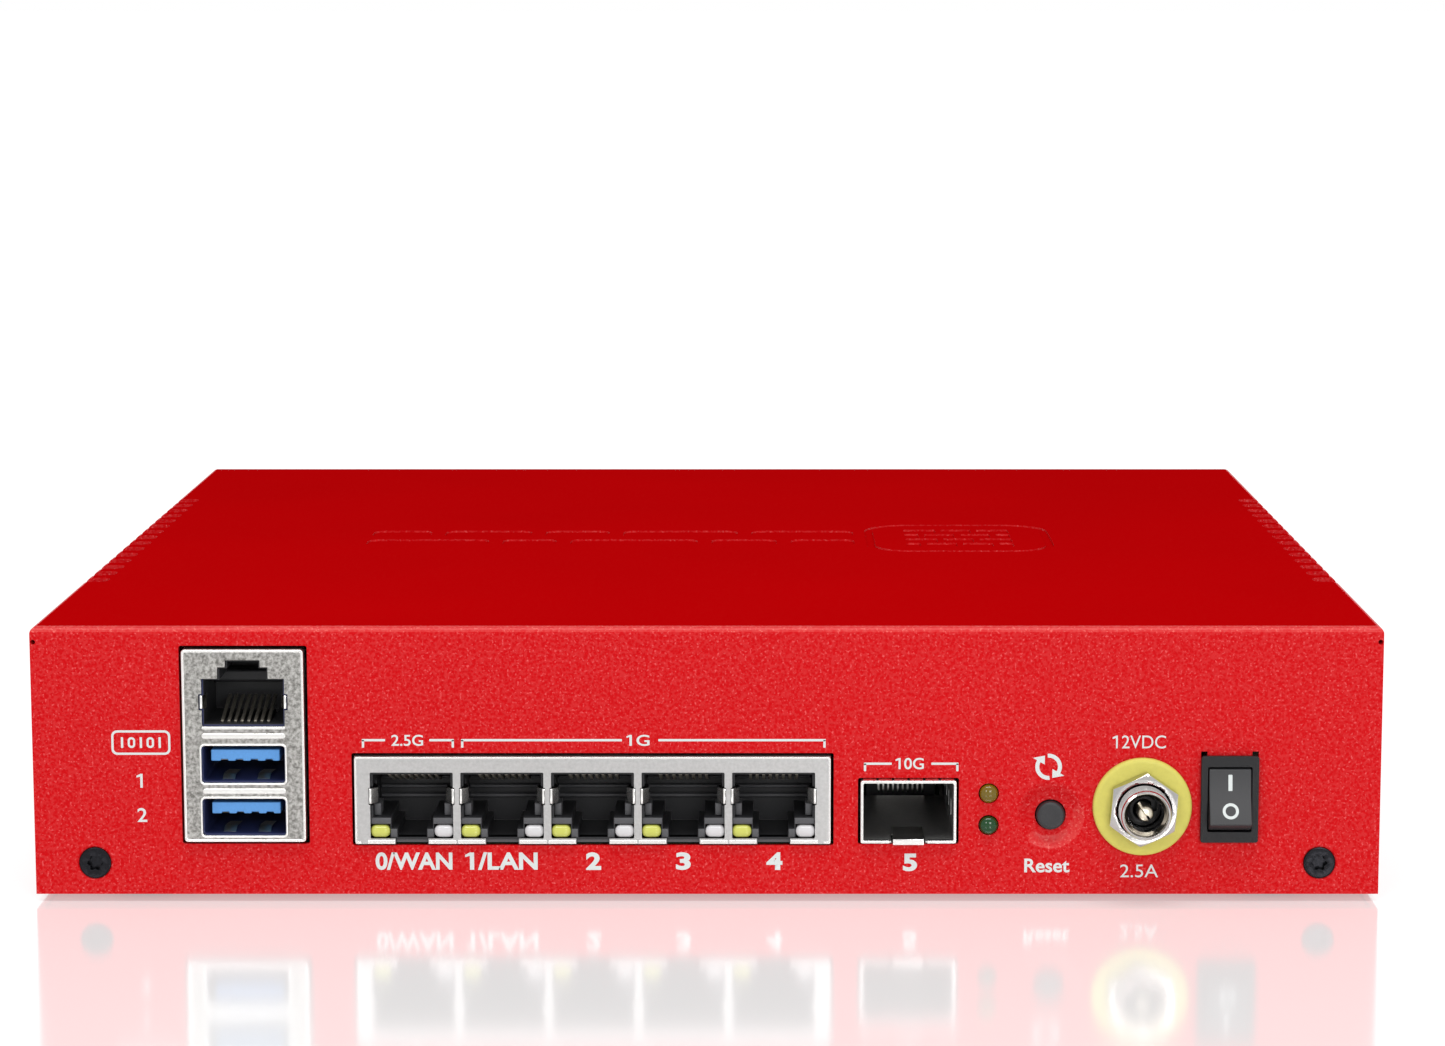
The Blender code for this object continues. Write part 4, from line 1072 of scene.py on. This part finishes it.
inlet = {"thread": 3.95 * mm, "root": 3.55 * mm, "pitch": 0.8 * mm, "bore": 2.8 * mm,
         "boreDepth": 12.5 * mm, "nutFlats": 10 * mm, "nutTurn": 25, "pin": 1.25 * mm, "slitTurn": -35}


def makeInletBarrel(x, z):
    low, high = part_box("inlet_barrel")
    tip, rear = low.y, high.y
    thread, root, bore = inlet["thread"], inlet["root"], inlet["bore"]
    profile = offsets(bore, tip, ((0.55, 0.12), (0.65, 0)))
    profile += offsets(thread, tip, ((-0.5, 0), (-0.22, 0.12), (-0.1, 0.5)))
    y = tip + 0.75 * mm
    while y < panelY - 1.2 * mm:
        profile += offsets(root, y, ((0, 0), (0, 0.15))) + offsets(thread, y, ((0, 0.38), (0, 0.5)))
        y += inlet["pitch"]
    flange = panelY + 1.3 * mm
    floor = tip + inlet["boreDepth"]
    profile += [(thread - 0.2 * mm, y), (thread - 0.2 * mm, flange), (5.3 * mm, flange),
                (5.4 * mm, flange + 0.1 * mm), (5.4 * mm, rear), (2.0 * mm, rear), (2.0 * mm, floor),
                (bore, floor)]
    profile += offsets(bore, tip, ((0, 1.1), (0.35, 0.55)))
    barrel = addTurned("inletBarrel", profile, x, z, 96, closed=True)
    smooth(barrel, 28)
    finishPiece(barrel, chromePlate, stands=["inlet_barrel"])


def makeInletNut(x, z):
    low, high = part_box("inlet_nut")
    flat = inlet["nutFlats"] / 2
    radius = flat / math.cos(math.pi / 6)
    hexagon = arc(x, z, radius, inlet["nutTurn"], inlet["nutTurn"] + 360, 6)[:-1]
    nut = addOutline("inletNut", hexagon, low.y, high.y)
    cone = [(0, low.y), (flat - 0.1 * mm, low.y), (radius + 0.3 * mm, low.y + 0.75 * mm),
            (radius + 0.3 * mm, high.y - 0.5 * mm), (flat + 0.15 * mm, high.y), (0, high.y)]
    combine(nut, addTurned("nutCone", cone, x, z, 96), "INTERSECT")
    hole = [(0, low.y - mm)] + offsets(inlet["thread"], low.y, ((0.6, -0.3), (0.13, 0.35)))
    hole += [(inlet["thread"] + 0.13 * mm, high.y + mm), (0, high.y + mm)]
    cut(nut, addTurned("nutHole", hole, x, z, 96))
    soften(nut, 0.07 * mm, 2, 25)
    finishPiece(nut, chromePlate, stands=["inlet_nut"])


def makeInletWasher(x, z):
    low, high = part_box("inlet_washer")
    outer, inner = (high.x - low.x) / 2, inlet["thread"] + 0.2 * mm
    ring = [(inner, high.y)] + offsets(inner, low.y, ((0, 0.1), (0.1, 0)))
    ring += offsets(outer, low.y, ((-0.75, 0), (-0.55, 0.02), (-0.2, 0.12), (-0.04, 0.32), (0, 0.5)))
    ring.append((outer, high.y))
    washer = addTurned("inletWasher", ring, x, z, 128, closed=True)
    smooth(washer, 40)
    finishPiece(washer, yellowPlastic, stands=["inlet_washer"])


def makeInletInsulator(x, z):
    low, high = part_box("inlet_insulator")
    outer, inner = (high.x - low.x) / 2, 1.4 * mm
    ring = offsets(inner, low.y, ((0, 0.5), (0.3, 0)))
    ring += offsets(outer, low.y, ((-0.5, 0), (-0.45, 0.6), (0, 0.6)))
    ring += [(outer, high.y), (inner, high.y)]
    insulator = addTurned("inletInsulator", ring, x, z, 64, closed=True)
    cut(insulator, addBlock("keyway", (x, low.y, z), (1.2, -1, -0.25), (2.0, 1.2, 1.4)))
    soften(insulator, 0.05 * mm)
    finishPiece(insulator, blackPlastic, stands=["inlet_insulator"])


def makeInletPin(x, z):
    low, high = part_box("inlet_pin")
    radius, dome = inlet["pin"], 0.8 * mm
    profile = [(0, low.y)] + roundOver(0, radius, low.y + dome, dome, 8) + [(radius, high.y), (0, high.y)]
    pin = addTurned("inletPin", profile, x, z, 48)
    slit = addBlock("slit", (0, low.y, 0), (-0.2, -1, -3), (0.2, 4, 3))
    turn = Matrix.Rotation(math.radians(inlet["slitTurn"]), 4, "Y")
    slit.data.transform(Matrix.Translation((x, 0, z)) @ turn)
    cut(pin, slit)
    soften(pin, 0.05 * mm, 2, 50)
    finishPiece(pin, tinnedBrass, stands=["inlet_pin"])


inletPlace = middleOf("inlet_washer")
makeInletBarrel(*inletPlace)
makeInletNut(*inletPlace)
makeInletWasher(*inletPlace)
makeInletInsulator(*inletPlace)
makeInletPin(*inletPlace)
print("inlet made")


# power switch

switch = {
    "half": 3.25 * mm, "radius": 4.95 * mm, "gap": 0.15 * mm, "edge": 0.16 * mm, "valley": 0.45 * mm,
    "corner": 60, "back": 114, "swing": 28, "steps": 8,  # the paddle's side view, in degrees
    "bearing": 0.95 * mm, "pin": 0.75 * mm, "lift": 0.015 * mm,
}
rockerJoint = next(joint for joint in frame["joints"] if joint["name"] == "power_rocker")
pivot = Vector(rockerJoint["pos_m"])


def makeSwitchHousing(x, z):
    low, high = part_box("switch_housing")
    front = low.y
    outline = roundedRect(x, z, high.x - low.x, high.z - low.z, 0.4 * mm, 4)
    bezel = addOutline("switchHousing", outline, front, panelY - 0.1 * mm)
    body = addBox("body", (x - 3.85 * mm, panelY - 0.5 * mm, z - 6.2 * mm),
                  (x + 3.85 * mm, high.y, z + 6.2 * mm))
    combine(bezel, body, "UNION")
    half, reach = switch["half"] + switch["gap"], switch["radius"] + switch["gap"]
    opening = roundedRect(x, z, 2 * half, 2 * reach, 0.2 * mm, 2)
    well = addOutline("well", opening, front - 2 * mm, panelY + 5 * mm)
    bearing = addOutline("bearing", circle(pivot.y, pivot.z, switch["bearing"], 24), x - 6 * mm,
                         x + 6 * mm, "X")
    cut(bezel, well, bearing)
    soften(bezel, switch["edge"], 3)
    finishPiece(bezel, blackPlastic, stands=["switch_housing"])


def paddlePoint(angle, radius):  # a point of the paddle's side view, in its place at rest
    turn = math.radians(switch["swing"] / 2)
    out, rise = radius * math.cos(math.radians(angle)), radius * math.sin(math.radians(angle))
    across, along = math.cos(turn), math.sin(turn)
    return (pivot.y - (out * across - rise * along), pivot.z + rise * across + out * along)


def makePaddle(x):
    first, last, steps = switch["corner"], switch["back"], switch["steps"]
    angles = [first + (last - first) * i / steps for i in range(steps + 1)]
    outline = [paddlePoint(a, switch["radius"]) for a in angles]
    outline += [paddlePoint(-a, switch["radius"]) for a in reversed(angles)]
    valley = paddlePoint(0, switch["radius"] * math.cos(math.radians(first)) - switch["valley"])
    outline.append(valley)
    paddle = addOutline("rockerPaddle", outline, x - switch["half"], x + switch["half"], "X")
    pin = addOutline("pin", circle(pivot.y, pivot.z, switch["pin"], 24), x - 3.7 * mm, x + 3.7 * mm, "X")
    combine(paddle, pin, "UNION")
    soften(paddle, switch["edge"], 3, 25)
    finishPiece(paddle, paddlePlastic, "rocker", ["power_rocker"])
    return Vector((0, *valley))


def makeRockerMarks(x, valley):  # one on each of the paddle's two faces
    thick = 0.02 * mm
    bar = addOutline("bar", roundedRect(0, 0, 0.62 * mm, 2.5 * mm, 0.1 * mm, 3), -thick, thick)
    ring = addRim("ring", circle(0, 0, 1.25 * mm, 48), circle(0, 0, 0.8 * mm, 48), -thick, thick)
    for piece, end, share in ((bar, 1, 0.52), (ring, -1, 0.5)):
        edge = Vector((0, *paddlePoint(end * switch["corner"], switch["radius"])))
        lie = (edge - valley) * end
        lean = math.atan2(-lie.y, lie.z)
        outward = Vector((0, -math.cos(lean), -math.sin(lean)))
        place = Vector((x, 0, 0)) + valley.lerp(edge, share) + outward * switch["lift"]
        piece.data.transform(Matrix.Translation(place) @ Matrix.Rotation(lean, 4, "X"))
    finishPiece(joinAll("rockerMarks", [bar, ring]), markInk, "rocker")


switchX, switchZ = middleOf("switch_housing")
makeSwitchHousing(switchX, switchZ)
makeRockerMarks(switchX, makePaddle(switchX))
print("switch made")


# case screws and feet

screw = {"shank": 1.45 * mm, "lobes": 6, "lobeRadius": 1.08 * mm, "lobeDepth": 0.17 * mm,
         "socket": 0.9 * mm}
foot = {"border": 1.6 * mm, "step": 0.4 * mm, "dip": 0.3 * mm, "edge": 0.18 * mm}


def lobes(x, z):
    points = []
    for i in range(72):
        a = 2 * math.pi * i / 72
        reach = screw["lobeRadius"] + screw["lobeDepth"] * math.cos(screw["lobes"] * a)
        points.append((x + reach * math.cos(a), z + reach * math.sin(a)))
    return points


def makeCaseScrews():
    for name in ("left", "right"):
        x, z = middleOf(f"cover_screw_{name}")
        low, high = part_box(f"cover_screw_{name}")
        face = low.y
        profile = [(0, face)] + offsets(0, face, ((2.2, 0), (2.4, 0.04), (2.48, 0.14)))
        profile += [(screw["shank"], face + 1.0 * mm), (screw["shank"], high.y - 0.3 * mm),
                    (1.1 * mm, high.y), (0, high.y)]
        piece = addTurned(f"caseScrew.{name}", profile, x, z, 48)
        cut(piece, addOutline("socket", lobes(x, z), face - mm, face + screw["socket"]))
        soften(piece, 0.05 * mm, 2, 40)
        finishPiece(piece, blackOxide, stands=[f"cover_screw_{name}"])


def makeFeet():
    for k in range(1, 5):
        low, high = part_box(f"foot_{k}")
        pick()
        bpy.ops.mesh.primitive_cylinder_add(vertices=72, radius=(high.x - low.x) / 2, depth=high.z - low.z,
                                            location=(low + high) / 2)
        piece = bpy.context.active_object
        piece.name = f"rubberFoot.{k}"
        bpy.ops.object.transform_apply(location=True, rotation=True, scale=True)
        chooseFaces(piece, lambda middle, normal: normal.z < -0.9)
        bpy.ops.mesh.inset(thickness=foot["border"], depth=0)
        bpy.ops.mesh.inset(thickness=foot["step"], depth=-foot["dip"])
        done()
        soften(piece, foot["edge"], 3, 30)
        finishPiece(piece, footRubber, stands=[f"foot_{k}"])


makeCaseScrews()
makeFeet()
print("screws and feet made")


# printed marks on the port panel, with their places and sizes in millimetres

ink = {"y": panelY - 0.012 * mm, "half": 0.006 * mm, "line": 0.36}
inkLayer = (ink["y"] - ink["half"], ink["y"] + ink["half"])
labels = [  # words, x, height above the panel's edge, width, height of a capital, added weight
    ("0/WAN", -45.4, 5.2, 11.9, 2.8, 0.03), ("1/LAN", -31.5, 5.2, 10.5, 2.8, 0.03),
    ("2", -17.6, 5.2, 2.35, 2.8, 0.04), ("3", -3.7, 5.2, 2.3, 2.8, 0.04), ("4", 10.4, 5.2, 2.5, 2.8, 0.04),
    ("5", 31.4, 5.0, 2.2, 2.8, 0.04), ("2.5G", -46.2, 24.25, 4.9, 1.75, 0.012),
    ("1G", -10.4, 24.25, 3.1, 1.75, 0.012), ("10G", 31.5, 20.6, 3.9, 1.8, 0.012),
    ("Reset", 52.6, 4.5, 7.0, 2.2, 0.02), ("12VDC", 66.9, 24.0, 7.7, 2.05, 0.0),
    ("2.5A", 66.9, 3.65, 5.9, 2.05, 0.0), ("1", -87.3, 17.9, None, 2.2, 0.012),
    ("2", -87.3, 12.5, 1.5, 2.2, 0.012),
]
brackets = ((-53.2, -39.0, 24.1, -49.6, -42.8), (-37.9, 18.3, 24.1, -13.1, -7.5),
            (24.2, 38.8, 20.4, 28.5, 34.6))
resetIcon = {"x": 52.7 * mm, "up": 20.1, "radius": 1.75 * mm, "line": 0.62 * mm, "sweep": 125, "head": 42}
consoleIcon = {"x": -87.25 * mm, "up": 23.9, "width": 9.1 * mm, "height": 3.85 * mm, "pitch": 1.45 * mm}


def addLabel(words, x, z, width, capHeight, weight):
    pick()
    bpy.ops.object.text_add()
    text = bpy.context.active_object
    text.data.body = words
    text.data.size = 1
    text.data.offset = weight
    text.data.resolution_u = 5
    bpy.ops.object.convert(target="MESH")
    flat = bpy.context.active_object
    corners = [vert.co for vert in flat.data.vertices]
    low = Vector([min(c[i] for c in corners) for i in range(3)])
    high = Vector([max(c[i] for c in corners) for i in range(3)])
    size = high - low
    tall = capHeight * mm / size.y
    wide = tall if width is None else width * mm / size.x
    middle = (low + high) / 2
    for vert in flat.data.vertices:
        co = vert.co - middle
        vert.co = (x * mm + co.x * wide, ink["y"], up(z) + co.y * tall)
    if words[0] != "1":
        return flat
    left, top = x * mm - size.x / 2 * wide, up(z) + capHeight / 2 * mm
    reach = capHeight * 0.26 * mm  # the flag that this typeface's figure 1 lacks
    flag = [(left + 0.05 * mm, top), (left + 0.05 * mm, top - reach * 0.75),
            (left - reach, top - reach * 1.05), (left - reach, top - reach * 0.55)]
    return joinAll("label", [flat, addOutline("flag", flag, *inkLayer)])


def addBar(x0, x1, z0, z1):
    bar = roundedRect((x0 + x1) / 2 * mm, up((z0 + z1) / 2), (x1 - x0) * mm, (z1 - z0) * mm, 0.08 * mm, 2)
    return addOutline("bar", bar, *inkLayer)


def addBracket(x0, x1, z, gap0, gap1):
    line = ink["line"]
    return [addBar(x0, gap0, z, z + line), addBar(gap1, x1, z, z + line),
            addBar(x0, x0 + line, z - 1.0, z + 0.2), addBar(x1 - line, x1, z - 1.0, z + 0.2)]


def addResetIcon():  # two arrows that chase each other
    x, z, radius, half = resetIcon["x"], up(resetIcon["up"]), resetIcon["radius"], resetIcon["line"] / 2
    pieces = []
    for start in (95, 275):
        end = start - resetIcon["sweep"]
        sweep = arc(x, z, radius + half, start, end, 20) + arc(x, z, radius - half, end, start, 20)
        pieces.append(addOutline("sweep", sweep, *inkLayer))
        head = []
        for reach, angle in ((1.05, end), (-1.05, end), (0.1, end - resetIcon["head"])):
            head.append(arc(x, z, radius + reach * mm, angle, angle, 1)[0])
        pieces.append(addOutline("head", head, *inkLayer))
    return pieces


def addConsoleIcon():  # strokes and loops in a frame
    x, z = consoleIcon["x"], up(consoleIcon["up"])
    size = (consoleIcon["width"], consoleIcon["height"])
    pieces = [addBorder("frameRing", x, z, *size, 0.7 * mm, (0.9, 0.6), 5, *inkLayer)]
    for k in range(5):
        middle = x + (k - 2) * consoleIcon["pitch"]
        if k % 2 == 0:
            stroke = roundedRect(middle, z, ink["line"] * mm, 1.7 * mm, 0.08 * mm, 2)
            pieces.append(addOutline("stroke", stroke, *inkLayer))
        else:
            size = (1.15 * mm, 1.7 * mm)
            pieces.append(addBorder("loop", middle, z, *size, 0.65 * mm, (0.55, 0.24), 6, *inkLayer))
    return pieces


def makePrint():
    pieces = [addLabel(*entry) for entry in labels]
    for entry in brackets:
        pieces += addBracket(*entry)
    pieces += addResetIcon() + addConsoleIcon()
    finishPiece(joinAll("panelPrint", pieces), markInk)


makePrint()
print("print made")


# the inner parts that keep their own shape

kept = {
    "base_tray": redPaint, "main_board": laminate, "heat_sink": extrudedAluminium, "processor": chipResin,
    "status_light_holder": blackPlastic, "reset_switch_body": blackPlastic,
    "switch_terminal_lower": tinnedBrass, "switch_terminal_upper": tinnedBrass,
    "lead_inlet_to_switch": redWire, "lead_switch_to_board": blackWire,
}
for k in range(1, 5):
    kept[f"standoff_{k}"] = yellowBrass
    kept[f"board_screw_{k}"] = lanNickel
for name, finish in kept.items():
    cadNode = frame["nodes"][name]
    cadNode.data.materials.clear()
    cadNode.data.materials.append(finish)


# camera, lights and floor

view = {"distance": 558 * mm, "side": 8.9 * mm, "aboveLid": 96 * mm, "pitch": 8.15, "lens": 91.9,
        "shift": -0.0292}
softboxes = {  # place, aim, width, height and power
    "frontLeft": ((-0.26, -0.78, 0.34), (0, -0.09, 0.02), 0.2, 0.2, 0.9),
    "frontRight": ((0.24, -0.78, 0.26), (0, -0.09, 0.02), 0.22, 0.22, 1.5),
    "overhead": ((0, -0.40, 1.1), (0, -0.09, 0.03), 1.0, 0.35, 8),
}
studio = {"diffuse": 0.5, "glossy": 0.95, "seen": 1.0, "floorSize": 60, "floorTone": 0.60,
          "floorGlow": 0.38}


def makeCamera():
    data = bpy.data.cameras.new("camera")
    data.sensor_width = 36
    data.lens = view["lens"]
    data.shift_x = view["shift"]
    data.clip_start = 0.01
    camera = bpy.data.objects.new("camera", data)
    bpy.context.scene.collection.objects.link(camera)
    camera.location = (view["side"], panelY - view["distance"], coverHigh.z + view["aboveLid"])
    camera.rotation_euler = (math.radians(90 - view["pitch"]), 0, 0)
    bpy.context.scene.camera = camera


def makeFloor():
    pick()
    bpy.ops.mesh.primitive_plane_add(size=studio["floorSize"], location=(0, 0, 0))
    floor = bpy.context.active_object
    floor.name = "floor"
    made, tree, shader, place = newMaterial("floorWhite", 0.12, metallic=0.3, specular=0.9)
    tone = studio["floorTone"]
    shader.inputs["Base Color"].default_value = (tone, tone, tone, 1)
    shader.inputs["Emission Color"].default_value = (1, 1, 1, 1)
    shader.inputs["Emission Strength"].default_value = studio["floorGlow"]
    floor.data.materials.append(made)


def makeWorld():  # white to the camera, and brighter in gloss than as a light
    world = bpy.data.worlds.new("studio")
    bpy.context.scene.world = world
    world.use_nodes = True
    tree = world.node_tree
    tree.nodes.clear()
    white = (1, 1, 1, 1)
    path = node(tree, "ShaderNodeLightPath")
    power = mapped(tree, path.outputs["Is Glossy Ray"], studio["diffuse"], studio["glossy"])
    seen = node(tree, "ShaderNodeBackground", [("Color", white), ("Strength", studio["seen"])])
    lit = node(tree, "ShaderNodeBackground", [("Color", white), ("Strength", power)])
    mix = node(tree, "ShaderNodeMixShader",
               [(0, path.outputs["Is Camera Ray"]), (1, lit.outputs[0]), (2, seen.outputs[0])])
    out = node(tree, "ShaderNodeOutputWorld")
    tree.links.new(mix.outputs[0], out.inputs["Surface"])


def addSoftbox(name, place, aim, width, height, power):
    data = bpy.data.lights.new(name, "AREA")
    data.shape = "RECTANGLE"
    data.size = width
    data.size_y = height
    data.energy = power
    lamp = bpy.data.objects.new(name, data)
    bpy.context.scene.collection.objects.link(lamp)
    lamp.location = place
    lamp.rotation_euler = (Vector(aim) - Vector(place)).to_track_quat("-Z", "Y").to_euler()


makeCamera()
makeFloor()
makeWorld()
for name, values in softboxes.items():
    addSoftbox(name, *values)
bpy.context.scene.view_settings.view_transform = "Standard"
bpy.context.scene.view_settings.look = "None"
print("stage made")
